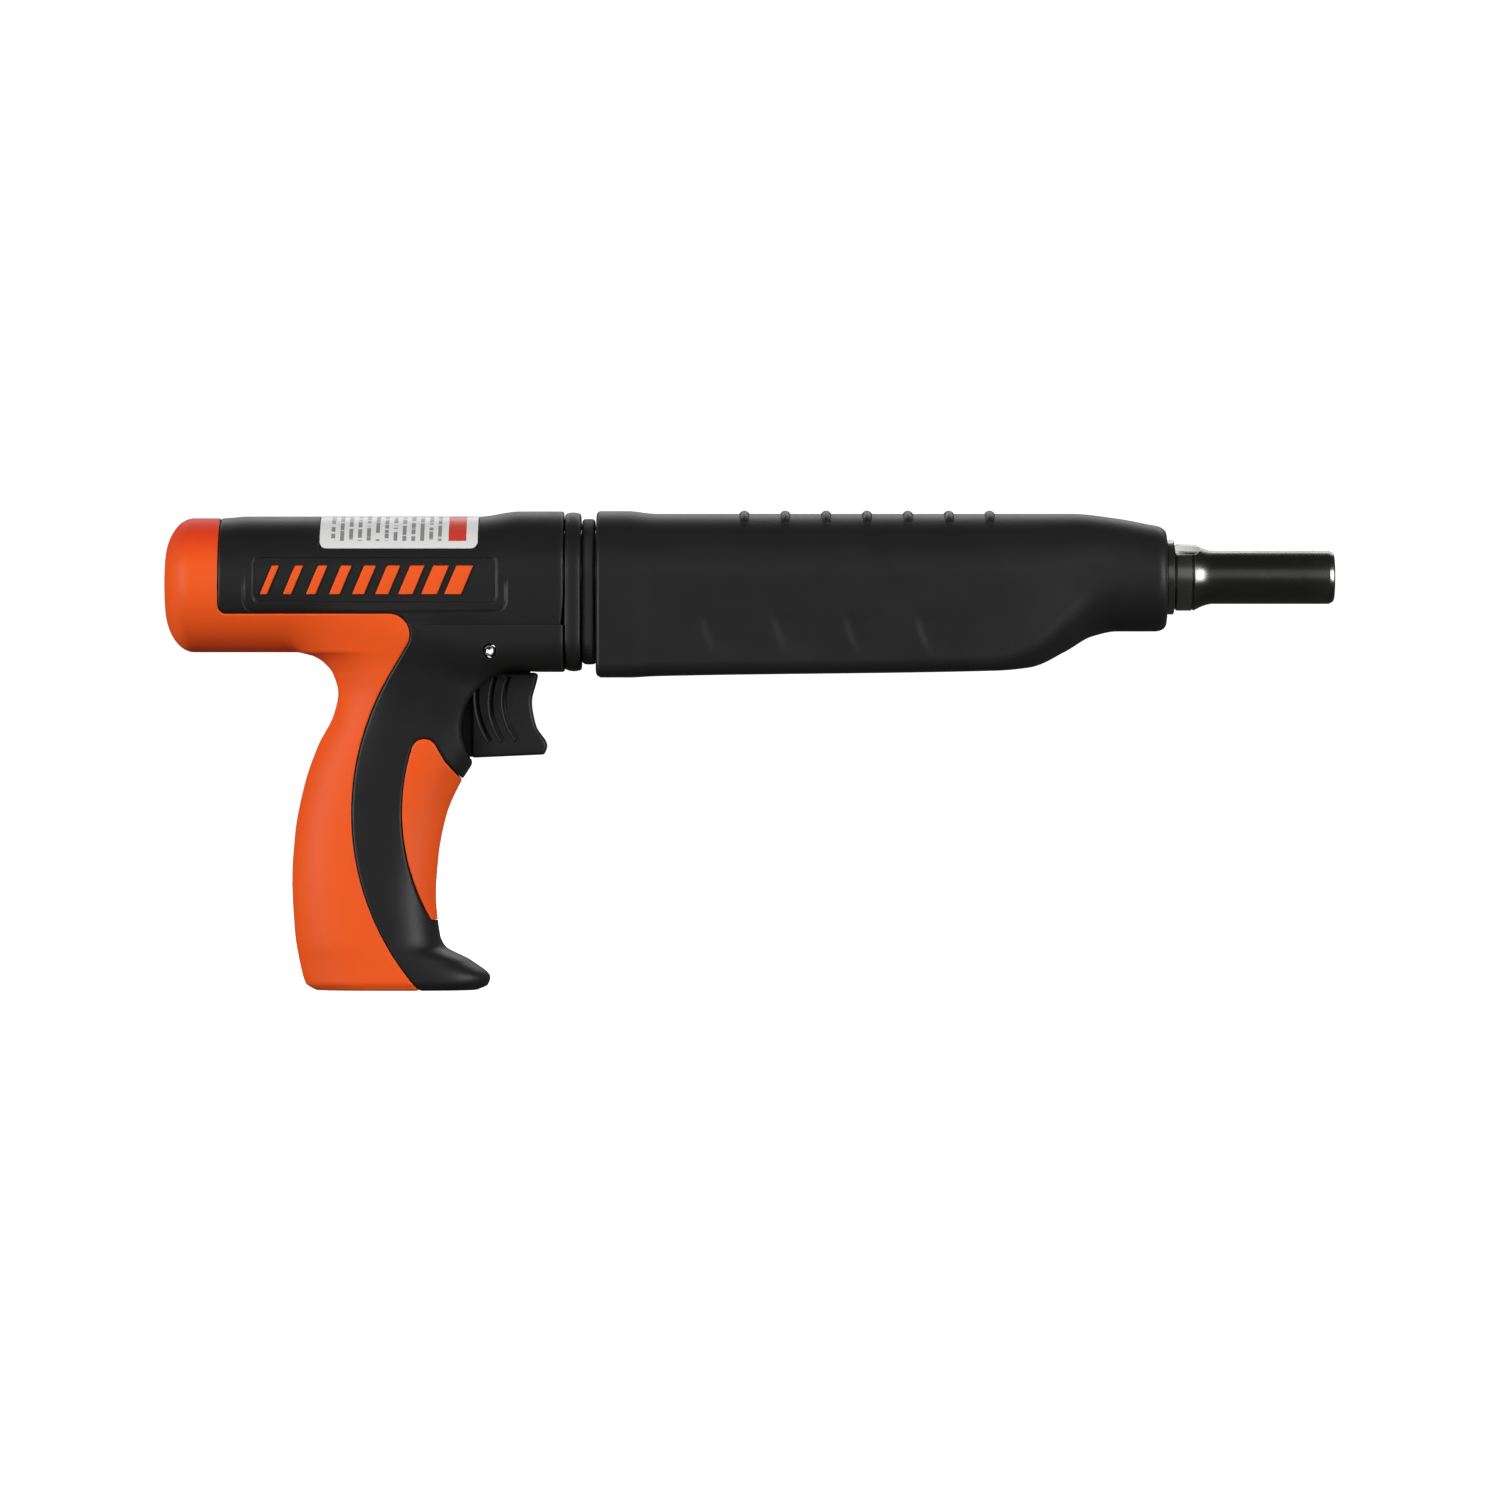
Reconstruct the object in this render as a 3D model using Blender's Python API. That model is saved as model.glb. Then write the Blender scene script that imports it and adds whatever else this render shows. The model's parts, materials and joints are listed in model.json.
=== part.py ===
"""Powder-actuated nail gun: single-shot tool with a pistol grip, a fixed receiver and a sliding barrel grip.

The tool's own frame has its origin where the bore axis meets the rearmost point of the rear bumper:
+X runs along the bore towards the muzzle, +Z is up, and -Y is the side with the trigger pin's open end.
The empty "tool" carries that frame, so that the part stands on the base of its grip, centred lengthwise.
"""
import math

import bmesh
import bpy

mm = 0.001

# ---- clearances ----
seat_gap = 0.3 * mm          # between pieces that touch, seat or slide on each other
seam_gap = 0.3 * mm          # between the soft overmould and the hard moulding beside it
end_gap = 0.5 * mm           # left at the end of a stroke

# ---- strokes ----
loading_stroke = 60.0 * mm   # barrel grip pulled forward to load and to reset the piston
press_stroke = 12.0 * mm     # muzzle pushed back into the tool against the work
piston_stroke = 60.0 * mm    # piston driven forward in the barrel
strike_stroke = 4.0 * mm     # firing pin
trigger_stroke = 6.0 * mm

# ---- rear housing: a tube with a pistol grip ----
bore_height = 121.1 * mm     # bore axis above the base of the grip
housing_length = 117.0 * mm
housing_half_width = 19.5 * mm
bumper_top = 17.4 * mm
label_top = 17.9 * mm        # top line where the label sits
shoulder_top = 19.4 * mm     # top line at the front
bumper_bottom = 22.0 * mm
shoulder_bottom = 27.7 * mm
shoulder_corner = 9.0 * mm   # bottom corners of the tube at the front
dome_depth = 8.3 * mm        # how far the rounded rear end reaches forward
dome_power = 1.8
dome_flat = 0.4              # share of the radius that stays flat in the middle of the rear end
label_start = 45.9 * mm
label_end = 92.0 * mm
label_angle = math.radians(60.0)
label_thickness = 0.25 * mm
housing_rear_wall = 9.0 * mm

# ---- grip, as seen from the side ----
grip_base_half_width = 16.5 * mm
grip_waist_half_width = 15.0 * mm
grip_neck_half_width = 17.0 * mm
grip_power = 2.6             # section of the grip: 2 is an ellipse, more is squarer
grip_cavity_wall = 2.5 * mm
guard_x = 103.5 * mm         # centre of the round hollow behind the trigger
guard_z = -44.4 * mm
guard_radius = 16.5 * mm
trigger_spring_pocket = 3.2 * mm   # radius
sear_pocket_reach = 14.0 * mm      # behind the sear's pin

# ---- soft overmould ----
overmould = 2.0 * mm
bumper_thickness = 3.0 * mm
bumper_edge_x = 16.3 * mm    # front edge of the bumper above the bore
bumper_edge_z = -10.8 * mm   # upper edge of the overmould below the bore
bumper_corner = 2.3 * mm
lobe_x = 66.2 * mm
lobe_radius = 6.2 * mm
band_x = 133.7 * mm          # centre of the two arcs that edge the hard band down the grip
band_z = -69.0 * mm
band_rear_radius = 78.5 * mm
band_front_radius = 63.9 * mm
strap_top_z = -51.3 * mm     # centre of the strap's round upper end
strap_drop = 31.5 * mm       # lower end of the front strap below the centre of its arc
strap_top_radius = 3.9 * mm

# ---- collar between housing and barrel grip ----
flange_thickness = 4.7 * mm
flange_top = 19.1 * mm
flange_bottom = 27.5 * mm
ring_thickness = 3.9 * mm
ring_top = 17.2 * mm
ring_bottom = 25.5 * mm

flange_start = housing_length + seat_gap
ring_start = flange_start + flange_thickness + seat_gap

# ---- receiver tube and what it holds ----
receiver_start = 12.0 * mm
receiver_radius = 14.0 * mm
receiver_wall = 2.2 * mm
receiver_bore = receiver_radius - receiver_wall
receiver_lip = 4.5 * mm      # tube left beyond the pawl
port_offset = 28.0 * mm      # loading port ahead of the breech face
port_length = 36.0 * mm
port_half_width = 8.5 * mm
plug_start = 14.0 * mm
plug_length = 12.0 * mm
screw_radius = 2.2 * mm
screw_head_radius = 4.0 * mm
screw_head_height = 3.6 * mm
screw_head_edge = 0.4 * mm
screw_socket_radius = 2.3 * mm
screw_socket_depth = 2.0 * mm
screw_recess_radius = 4.4 * mm
screw_recess_depth = 6.2 * mm
clip_width = 2.0 * mm
clip_height = 1.6 * mm
clip_seat_depth = 0.6 * mm
clip_sweep = 310             # degrees
pawl_length = 8.0 * mm
pawl_width = 4.0 * mm
pawl_depth = 5.3 * mm        # how close the pawl comes to the bore axis
pawl_spring_width = 5.0 * mm
pawl_spring_thickness = 1.0 * mm
pawl_spring_sweep = 290      # degrees

# ---- breech ----
block_behind_sear = 2.0 * mm # rear end of the block ahead of the sear's pin
firing_pin_radius = 3.5 * mm
firing_pin_tail = 16.0 * mm  # behind the sear's pin
firing_pin_shoulder_back = 9.0 * mm   # behind the breech face
firing_pin_tip_back = 2.8 * mm
pin_bore_gap = 0.4 * mm
firing_pin_tip_radius = 0.8 * mm
firing_pin_tip_offset = 1.7 * mm
firing_pin_collar_radius = 6.0 * mm
firing_pin_collar = 4.0 * mm
breech_spring_wire = 1.6 * mm
breech_spring_clearance = 1.2 * mm    # outside the coil
firing_pin_spring_wire = 1.2 * mm
firing_pin_spring_radius = 5.0 * mm

# ---- barrel ----
barrel_start = housing_length + 1.0 * mm    # breech face
barrel_guide_length = 12.0 * mm
barrel_radius = 9.0 * mm
chamber_radius = 2.95 * mm
chamber_depth = 13.0 * mm
gas_hole_radius = 2.0 * mm
barrel_breech_length = 16.0 * mm
barrel_bore = 7.0 * mm
rod_bore = 4.2 * mm
barrel_collar_length = 3.0 * mm
barrel_collar_radius = 12.0 * mm
barrel_spigot = 3.4 * mm
barrel_spigot_radius = 7.0 * mm
flange_washer_thickness = 2.2 * mm
flange_washer_radius = 10.9 * mm
washer_to_collar = 34.3 * mm # muzzle bushing ahead of the spring collar
buffer_length = 9.7 * mm
pawl_to_buffer = 4.1 * mm    # left between the pawl and the buffer with the muzzle pushed in

# ---- muzzle ----
muzzle_collar_radius = 9.8 * mm
muzzle_collar_length = 5.6 * mm
muzzle_cone_length = 5.5 * mm
muzzle_radius = 7.8 * mm
muzzle_bore = 4.1 * mm
muzzle_chamfer = 1.6 * mm
muzzle_length = 46.8 * mm
wrench_flat = 8.8 * mm       # distance of each flat from the bore axis
wrench_turn = math.radians(23.0)   # the flats lean from level

# ---- piston ----
piston_head_radius = 6.7 * mm
piston_head_length = 10.7 * mm
piston_nose_radius = 4.9 * mm
rod_radius = 3.7 * mm
rod_length = 165.0 * mm      # from the breech face
ring_groove_offset = 3.7 * mm
ring_groove_width = 2.6 * mm
ring_groove_radius = 5.6 * mm
piston_ring_radius = 6.85 * mm
piston_ring_sweep = 345      # degrees

# ---- barrel grip sleeve ----
sleeve_start = ring_start + ring_thickness + seat_gap
sleeve_length = 167.3 * mm
sleeve_end = sleeve_start + sleeve_length
sleeve_half_width = 19.5 * mm      # at the thicker rear end
sleeve_waist_half_width = 18.8 * mm
sleeve_nose_half_width = 15.5 * mm
sleeve_wall = 2.4 * mm
sleeve_corner = 4.0 * mm
rib_count = 7
rib_first = sleeve_start + 43.4 * mm
rib_pitch = 12.0 * mm
rib_width = 3.4 * mm
rib_height = 1.0 * mm
rib_half_span = 11.0 * mm
rear_bushing_inset = 0.8 * mm
rear_bushing_length = 10.0 * mm
front_bushing_offset = 141.5 * mm  # from the rear end of the sleeve
front_bushing_length = 13.0 * mm
spring_seat_gap = 2.5 * mm         # ahead of the receiver tube
spring_seat_length = 2.5 * mm
barrel_collar_offset = 135.5 * mm  # spring collar, from the rear end of the sleeve
barrel_spring_wire = 1.8 * mm
barrel_spring_clearance = 1.3 * mm # inside the coil

# ---- trigger and sear ----
trigger_rear = 89.9 * mm
tongue_rear = 86.7 * mm      # narrower tongue behind the trigger, which closes its slot
tongue_width = 10.0 * mm
trigger_front = 109.2 * mm
trigger_toe = 111.9 * mm
trigger_waist = 107.4 * mm
trigger_bottom = -53.0 * mm
trigger_width = 13.0 * mm
trigger_edge = 1.6 * mm
stem_rear = 92.2 * mm
stem_front = 107.0 * mm
stem_top = -17.5 * mm
stem_width = 7.0 * mm
trigger_pin_x = 95.5 * mm
trigger_pin_z = -21.7 * mm
trigger_pin_radius = 1.6 * mm
trigger_pin_wall = 0.7 * mm
trigger_pin_half_length = 18.4 * mm
trigger_spring_z = -41.5 * mm
trigger_spring_seat = 70.0 * mm
trigger_spring_wire = 0.9 * mm
trigger_spring_radius = 2.2 * mm
sear_x = 76.0 * mm
sear_z = -18.5 * mm
sear_pin_radius = 1.5 * mm
sear_pin_reach = 8.0 * mm          # of the pin into the near wall
sear_width = 4.0 * mm
sear_boss_radius = 3.3 * mm
nose_rear = 4.5 * mm               # places on the sear are measured from its pin
nose_front = 8.5 * mm
nose_height = 9.5 * mm
bar_half = 2.0 * mm
arm_rear_top = 2.5 * mm
arm_waist_depth = 7.2 * mm         # where the arm stands furthest behind the trigger's tongue
arm_lean_margin = math.radians(3)  # of the arm's front, beyond the sear's swing
tip_radius = 1.2 * mm              # round end that the trigger pushes
tip_depth = 14.3 * mm
tip_x = tongue_rear - seat_gap - tip_radius - sear_x
tail_end = -10.0 * mm
tail_front = -4.0 * mm
tail_top = -3.0 * mm
tail_bottom = -6.0 * mm
sear_spring_wire = 0.6 * mm
sear_spring_radius = 1.5 * mm

# ---- how finely round shapes are divided ----
round_sides = 28
inner_sides = 20
corner_steps = 6
wire_sides = 4
grip_sides = 22
rib_steps = 6
least_flat = 0.1 * mm        # shortest straight stretch between two rounded corners
steps_per_turn = 8
overcut = 1.0 * mm           # how far a cutter runs past what it cuts
wide = 30.0 * mm             # half width of a cutter that runs through the whole tool

# ---- places along the bore that follow from these sizes ----
block_start = sear_x + block_behind_sear
block_end = barrel_start - seat_gap
pawl_start = (barrel_start + barrel_breech_length + seat_gap + piston_head_length + piston_stroke
              + end_gap)
receiver_end = pawl_start + pawl_length + receiver_lip
rear_bushing_start = sleeve_start + rear_bushing_inset
rear_bushing_end = rear_bushing_start + rear_bushing_length
barrel_collar_x = sleeve_start + barrel_collar_offset
muzzle_start = barrel_collar_x + washer_to_collar
tool_length = muzzle_start + muzzle_length

# ---- the sear's swing: the trigger's stroke carries its round tip back ----
tip_reach = math.hypot(tip_x, tip_depth)
tip_rest = math.acos(tip_x / tip_reach)
sear_swing = math.acos((tip_x - trigger_stroke) / tip_reach) - tip_rest

# ---- the frame of the tool ----
for old in list(bpy.data.objects):
    bpy.data.objects.remove(old)

tool = bpy.data.objects.new("tool", None)
bpy.context.scene.collection.objects.link(tool)
tool.location = (-tool_length / 2, 0, bore_height)


# ---- materials ----
def finish(name, colour, roughness, metallic):
    material = bpy.data.materials.new(name)
    material.use_nodes = True
    shader = material.node_tree.nodes["Principled BSDF"]
    shader.inputs["Base Color"].default_value = (*colour, 1)
    shader.inputs["Roughness"].default_value = roughness
    shader.inputs["Metallic"].default_value = metallic
    material.diffuse_color = (*colour, 1)
    return material


black_nylon = finish("black_nylon", (0.014, 0.015, 0.014), 0.42, 0.0)
orange_rubber = finish("orange_rubber", (0.82, 0.10, 0.015), 0.45, 0.0)
black_rubber = finish("black_rubber", (0.02, 0.02, 0.02), 0.7, 0.0)
label_film = finish("label_film", (0.78, 0.78, 0.78), 0.4, 0.0)
blued_steel = finish("blued_steel", (0.05, 0.052, 0.05), 0.35, 0.9)
bright_steel = finish("bright_steel", (0.55, 0.55, 0.56), 0.3, 1.0)
spring_steel = finish("spring_steel", (0.35, 0.35, 0.37), 0.35, 1.0)
acetal = finish("acetal", (0.06, 0.06, 0.062), 0.5, 0.0)


# ---- shapes ----
def smooth_line(points):
    """A curve u -> v through the points, with no overshoot between them."""
    def slope(i):
        if i in (0, len(points) - 1):
            return 0.0
        (u0, v0), (u1, v1), (u2, v2) = points[i - 1:i + 2]
        before = (v1 - v0) / (u1 - u0)
        after = (v2 - v1) / (u2 - u1)
        if before * after <= 0:
            return 0.0
        return 2 * before * after / (before + after)

    slopes = [slope(i) for i in range(len(points))]

    def value(u):
        if u <= points[0][0]:
            return points[0][1]
        for i in range(len(points) - 1):
            (u0, v0), (u1, v1) = points[i:i + 2]
            if u <= u1:
                span = u1 - u0
                t = (u - u0) / span
                rise = (3 - 2 * t) * t * t
                start = t * (1 - t) ** 2 * span * slopes[i]
                end = t * t * (t - 1) * span * slopes[i + 1]
                return v0 + (v1 - v0) * rise + start + end
        return points[-1][1]

    return value


def arc(centre, radius, start, end, steps):
    """Points of an arc in a plane, from one angle to another, in degrees."""
    angles = [math.radians(start + (end - start) * i / steps) for i in range(steps + 1)]
    return [(centre[0] + radius * math.cos(a), centre[1] + radius * math.sin(a)) for a in angles]


def d_section(half_width, top, bottom, corner):
    """Outline in the YZ plane with a round top and rounded bottom corners; bottom is measured down."""
    upper = half_width - least_flat
    lower = min(corner, half_width - least_flat, (top + bottom) - upper - least_flat)
    points = arc((half_width - upper, top - upper), upper, 0, 90, corner_steps)
    points += arc((upper - half_width, top - upper), upper, 90, 180, corner_steps)
    points += arc((lower - half_width, lower - bottom), lower, 180, 270, corner_steps)
    points += arc((half_width - lower, lower - bottom), lower, 270, 360, corner_steps)
    return points


def oval(half_length, half_width, power, sides):
    """Superellipse in a plane."""
    points = []
    for i in range(sides):
        angle = 2 * math.pi * i / sides
        c, s = math.cos(angle), math.sin(angle)
        u = half_length * math.copysign(abs(c) ** (2 / power), c)
        v = half_width * math.copysign(abs(s) ** (2 / power), s)
        points.append((u, v))
    return points


def make(name, bm, material, at):
    """Object from a mesh that is in the tool's frame, with its origin at the given point."""
    bmesh.ops.recalc_face_normals(bm, faces=bm.faces[:])
    bmesh.ops.translate(bm, verts=bm.verts[:], vec=[-c for c in at])
    mesh = bpy.data.meshes.new(name)
    bm.to_mesh(mesh)
    bm.free()
    if material:
        mesh.materials.append(material)
        mesh.shade_smooth()
        mesh.set_sharp_from_angle(angle=math.radians(35))
    piece = bpy.data.objects.new(name, mesh)
    bpy.context.scene.collection.objects.link(piece)
    piece.parent = tool
    piece.location = at
    if not material:
        piece.hide_render = True
        piece.display_type = "WIRE"
    return piece


def skin(rings, closed=False):
    """Mesh through rings of points that have equal counts; the ends are capped unless it closes on itself."""
    bm = bmesh.new()
    loops = [[bm.verts.new(p) for p in ring] for ring in rings]
    pairs = list(zip(loops, loops[1:]))
    if closed:
        pairs.append((loops[-1], loops[0]))
    for a, b in pairs:
        for i in range(len(a)):
            bm.faces.new((a[i - 1], a[i], b[i], b[i - 1]))
    if not closed:
        bm.faces.new(loops[0])
        bm.faces.new(loops[-1])
    return bm


def loft(name, sections, material=None, at=(0, 0, 0)):
    """Solid through sections, each a place along X and an outline in YZ."""
    return make(name, skin([[(x, y, z) for y, z in outline] for x, outline in sections]), material, at)


def turned(name, profile, material=None, sides=inner_sides, x0=0.0, z0=0.0, sweep=None, middle=90.0):
    """Solid turned about the bore axis, or about one parallel to it.

    The profile is (place along X, radius); it runs from axis to axis, or closes on itself round a bore.
    With a sweep in degrees it is only a sector, centred on the angle given as middle.
    """
    bm = bmesh.new()
    part = sweep is not None
    count = sides + 1 if part else sides
    span = math.radians(sweep) if part else 2 * math.pi
    start = math.radians(middle) - span / 2 if part else 0.0

    def ring(x, r):
        if r == 0:
            return [bm.verts.new((x, 0, z0))] * count
        angles = [start + span * i / sides for i in range(count)]
        return [bm.verts.new((x, r * math.cos(a), z0 + r * math.sin(a))) for a in angles]

    rings = [ring(x, r) for x, r in profile]
    pairs = list(zip(rings, rings[1:]))
    if all(r > 0 for _, r in profile):
        pairs.append((rings[-1], rings[0]))
    for a, b in pairs:
        for i in range(1 if part else 0, count):
            corners = [a[i - 1], a[i], b[i], b[i - 1]]
            unique = [v for k, v in enumerate(corners) if v is not corners[k - 1]]
            if len(unique) > 2:
                bm.faces.new(unique)
    if part:
        bm.faces.new([r[0] for r in rings])
        bm.faces.new([r[-1] for r in rings])
    return make(name, bm, material, (x0, 0, z0))


def tube(name, x0, x1, outer, bore, material, sides=inner_sides, **sector):
    """Plain ring or tube on the bore axis."""
    return turned(name, [(x0, outer), (x1, outer), (x1, bore), (x0, bore)], material, sides, x0, **sector)


def rod(name, x0, x1, radius, material=None, sides=inner_sides, z0=0.0):
    """Plain round bar along X."""
    return turned(name, [(x0, 0), (x0, radius), (x1, radius), (x1, 0)], material, sides, x0, z0)


def slab(name, outline, y0, y1, material=None, at=(0, 0, 0)):
    """Outline in the side view, given thickness across the tool."""
    return make(name, skin([[(x, y, z) for x, z in outline] for y in (y0, y1)]), material, at)


def block(name, x0, x1, y0, y1, z0, z1, material=None, at=(0, 0, 0)):
    return slab(name, [(x0, z0), (x1, z0), (x1, z1), (x0, z1)], y0, y1, material, at)


def cross_bar(name, x, z, radius, y0, y1, material=None, sides=16):
    """Round bar across the tool."""
    outline = arc((x, z), radius, 0, 360 - 360 / sides, sides - 1)
    return slab(name, outline, y0, y1, material, (x, 0, z) if material else (0, 0, 0))


def coil(name, start, end, radius, wire, turns, material):
    """Round-wire compression spring between two points, with its first and last turns closed."""
    length = math.dist(start, end) - wire
    along_x = abs(end[0] - start[0]) > abs(end[2] - start[2])
    rings = []
    count = turns * steps_per_turn
    closed = wire * 1.05
    pitch = (length - 2 * closed) / (turns - 2)
    for i in range(count + 1):
        turn = i / steps_per_turn
        height = wire / 2 + closed * min(turn, 1) + closed * max(turn - turns + 1, 0)
        height += pitch * min(max(turn - 1, 0), turns - 2)
        angle = 2 * math.pi * turn
        ring = []
        for j in range(wire_sides):
            a = 2 * math.pi * j / wire_sides
            r = radius + wire / 2 * math.cos(a)
            h = height + wire / 2 * math.sin(a)
            p = (r * math.cos(angle), r * math.sin(angle))
            if along_x:
                ring.append((start[0] + h, p[0], start[2] + p[1]))
            else:
                ring.append((start[0] + p[0], p[1], start[2] + h))
        rings.append(ring)
    return make(name, skin(rings), material, start)


def combine(piece, *others, operation="DIFFERENCE"):
    for other in others:
        step = piece.modifiers.new(operation.lower() + "_" + other.name, "BOOLEAN")
        step.operation = operation
        step.solver = "EXACT"
        step.object = other


# ---- outer form of the housing: tube and grip ----
housing_top = smooth_line([
    (0.0, bumper_top), (bumper_edge_x, bumper_top), (bumper_edge_x + 8 * mm, label_top),
    (label_end, label_top), (label_end + 12 * mm, shoulder_top), (housing_length, shoulder_top)])
housing_bottom = smooth_line([
    (0.0, bumper_bottom), (40 * mm, bumper_bottom), (97 * mm, shoulder_bottom),
    (housing_length, shoulder_bottom)])
housing_bottom_corner = smooth_line([
    (0.0, housing_half_width), (30 * mm, housing_half_width), (90 * mm, shoulder_corner),
    (housing_length, shoulder_corner)])

grip_back = smooth_line([
    (-bore_height, 43.5 * mm), (-119.4 * mm, 41.2 * mm), (-115.0 * mm, 39.8 * mm), (-104.0 * mm, 37.9 * mm),
    (-89.0 * mm, 37.1 * mm), (-75.0 * mm, 38.0 * mm), (-61.0 * mm, 40.7 * mm), (-49.4 * mm, 44.7 * mm),
    (-40.0 * mm, 49.4 * mm), (-34.0 * mm, 50.6 * mm), (-28.4 * mm, 49.1 * mm), (-24.9 * mm, 46.2 * mm),
    (-22.9 * mm, 42.7 * mm), (-22.0 * mm, 39.2 * mm), (-14.0 * mm, 36.0 * mm)])
grip_front = smooth_line([
    (-bore_height, 92.0 * mm), (-119.8 * mm, 94.4 * mm), (-117.5 * mm, 95.3 * mm), (-112.4 * mm, 89.6 * mm),
    (-108.2 * mm, 82.0 * mm), (-105.0 * mm, 80.5 * mm), (-93.0 * mm, 79.3 * mm), (-82.0 * mm, 80.0 * mm),
    (-70.0 * mm, 82.3 * mm), (-61.0 * mm, 86.1 * mm), (-54.1 * mm, 90.3 * mm), (-40.0 * mm, 96.5 * mm),
    (-27.5 * mm, 100.5 * mm), (-14.0 * mm, 102.0 * mm)])
grip_half_width = smooth_line([
    (-bore_height, grip_base_half_width - 1.2 * mm), (-118.5 * mm, grip_base_half_width),
    (-100.0 * mm, grip_base_half_width), (-60.0 * mm, grip_waist_half_width),
    (-45.0 * mm, grip_waist_half_width), (-22.0 * mm, grip_neck_half_width),
    (-14.0 * mm, grip_neck_half_width)])
grip_levels = [z * mm for z in (-119.6, -117, -112.4, -108.2, -104, -93, -82, -70, -61, -53, -44, -35, -28.4,
                                -24.9, -22.4)]


def housing_section(x, inset):
    corner = housing_bottom_corner(x) - inset
    width = housing_half_width - inset
    return d_section(width, housing_top(x) - inset, housing_bottom(x) - inset, corner)


def housing_tube(name, inset=0.0, rear_inset=0.0, end=housing_length, material=None):
    """Tube of the housing with its domed rear end, drawn in by an inset."""
    sections = []
    for share in (dome_flat, 0.7, 0.88, 0.97):
        bulge = ((share - dome_flat) / (1 - dome_flat)) ** dome_power
        x = dome_depth * (1 - math.sqrt(1 - bulge))
        outline = housing_section(x, inset)
        middle = (housing_top(x) - housing_bottom(x)) / 2
        sections.append((x + rear_inset, [(y * share, middle + (z - middle) * share) for y, z in outline]))
    places = [dome_depth] + [x * mm for x in (24.3, 40, 56, 74, 92, 98, 104)] + [end]
    sections += [(x + rear_inset if x == dome_depth else x, housing_section(x, inset))
                 for x in places if x <= end]
    return loft(name, sections, material)


def grip_solid(name, inset=0.0, bottom=-bore_height, top=-14.0 * mm):
    """Grip as a stack of ovals, drawn in by an inset."""
    rings = []
    inside = [z for z in grip_levels if bottom + 1 * mm < z < top - 1 * mm]
    for z in [bottom] + inside + [top]:
        shape_z = max(z - inset, -bore_height) if z == bottom else z
        back = grip_back(shape_z) + inset
        front = grip_front(shape_z) - inset
        outline = oval((front - back) / 2, grip_half_width(shape_z) - inset, grip_power, grip_sides)
        rings.append([((front + back) / 2 + u, v, z) for u, v in outline])
    return make(name, skin(rings), None, (0, 0, 0))


def bumper_zone(name, grow):
    """Side outline of the bumper and backstrap overmould, grown by an amount, as a slab across the tool."""
    edge = bumper_edge_x + grow
    upper = bumper_edge_z + grow
    corner = bumper_corner - grow
    points = [(-10 * mm, 40 * mm), (edge, 40 * mm)]
    points += arc((edge + corner, upper + corner), corner, 180, 270, 4)
    points += arc((lobe_x, bumper_edge_z - lobe_radius), lobe_radius + grow, 90, -28, 8)
    points += arc((band_x, band_z), band_rear_radius - grow, 148, 222, 16)
    points += [(74 * mm, -bore_height - 10 * mm), (-10 * mm, -bore_height - 10 * mm)]
    return slab(name, points, -wide, wide)


def strap_zone(name, grow):
    """Side outline of the front strap overmould, grown by an amount, as a slab across the tool."""
    drop = strap_drop + grow
    radius = band_front_radius + grow
    inner = band_front_radius - strap_top_radius
    turn = 180 - math.degrees(math.asin((strap_top_z - band_z) / inner))
    top = (band_x + inner * math.cos(math.radians(turn)), strap_top_z)
    points = arc((band_x, band_z), radius, 180 + math.degrees(math.asin(drop / radius)), turn, 10)[:-1]
    points += arc(top, strap_top_radius + grow, turn, 30, 6)
    points += [(82.4 * mm + grow, -54.0 * mm + grow), (87.0 * mm + grow, -59.2 * mm + grow)]
    points += [(110 * mm, -60.5 * mm + grow), (110 * mm, band_z - drop)]
    return slab(name, points, -wide, wide)


outer_grip = grip_solid("form_grip")
guard_cut = cross_bar("cut_guard", guard_x, guard_z, guard_radius, -wide, wide, sides=48)

# ---- rear housing: hard moulding under and between the overmould ----
core_inset = overmould + seat_gap
core_rear = bumper_thickness - overmould
core_tube = housing_tube("form_core_tube", core_inset, core_rear + core_inset, 88 * mm)
core_grip = grip_solid("form_core_grip", core_inset, -bore_height + core_inset, -16 * mm)
trigger_slot_rear = tongue_rear - trigger_stroke - seat_gap - end_gap
slot_half = trigger_width / 2 + seat_gap
stem_half = stem_width / 2 + seat_gap
pocket_floor = -shoulder_bottom - 0.5 * mm
trigger_top = -shoulder_bottom - seat_gap
cavity_inset = core_inset + grip_cavity_wall

screw_hole = screw_radius + seat_gap
receiver_hole = receiver_radius + seat_gap
bore_cut = turned("cut_bore", [
    (-overcut, 0), (-overcut, screw_recess_radius), (screw_recess_depth, screw_recess_radius),
    (screw_recess_depth, screw_hole), (housing_rear_wall, screw_hole), (housing_rear_wall, receiver_hole),
    (housing_length + overcut, receiver_hole), (housing_length + overcut, 0)], sides=round_sides)
pocket_cut = block("cut_sear_pocket", sear_x - sear_pocket_reach, stem_front + overcut, -stem_half, stem_half,
                   pocket_floor, -receiver_radius + 4 * mm)
slot_cut = block("cut_trigger_slot", trigger_slot_rear, guard_x + guard_radius / 2, -slot_half, slot_half,
                 trigger_bottom - seat_gap, -shoulder_bottom - 0.1 * mm)
spring_pocket = rod("cut_spring_pocket", trigger_spring_seat, trigger_slot_rear + overcut,
                    trigger_spring_pocket, z0=trigger_spring_z, sides=14)
arm_rear = sear_x + (tip_x - trigger_stroke) - 2 * tip_radius - 2 * end_gap
arm_bottom = sear_z - tip_reach * math.sin(tip_rest + sear_swing) - tip_radius - end_gap
arm_pocket = block("cut_sear_arm", arm_rear, trigger_slot_rear + overcut, -sear_width / 2 - seat_gap,
                   sear_width / 2 + seat_gap, arm_bottom, pocket_floor + overcut)
cavity = grip_solid("cut_grip_cavity", cavity_inset, -bore_height + cavity_inset, -47 * mm)
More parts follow.
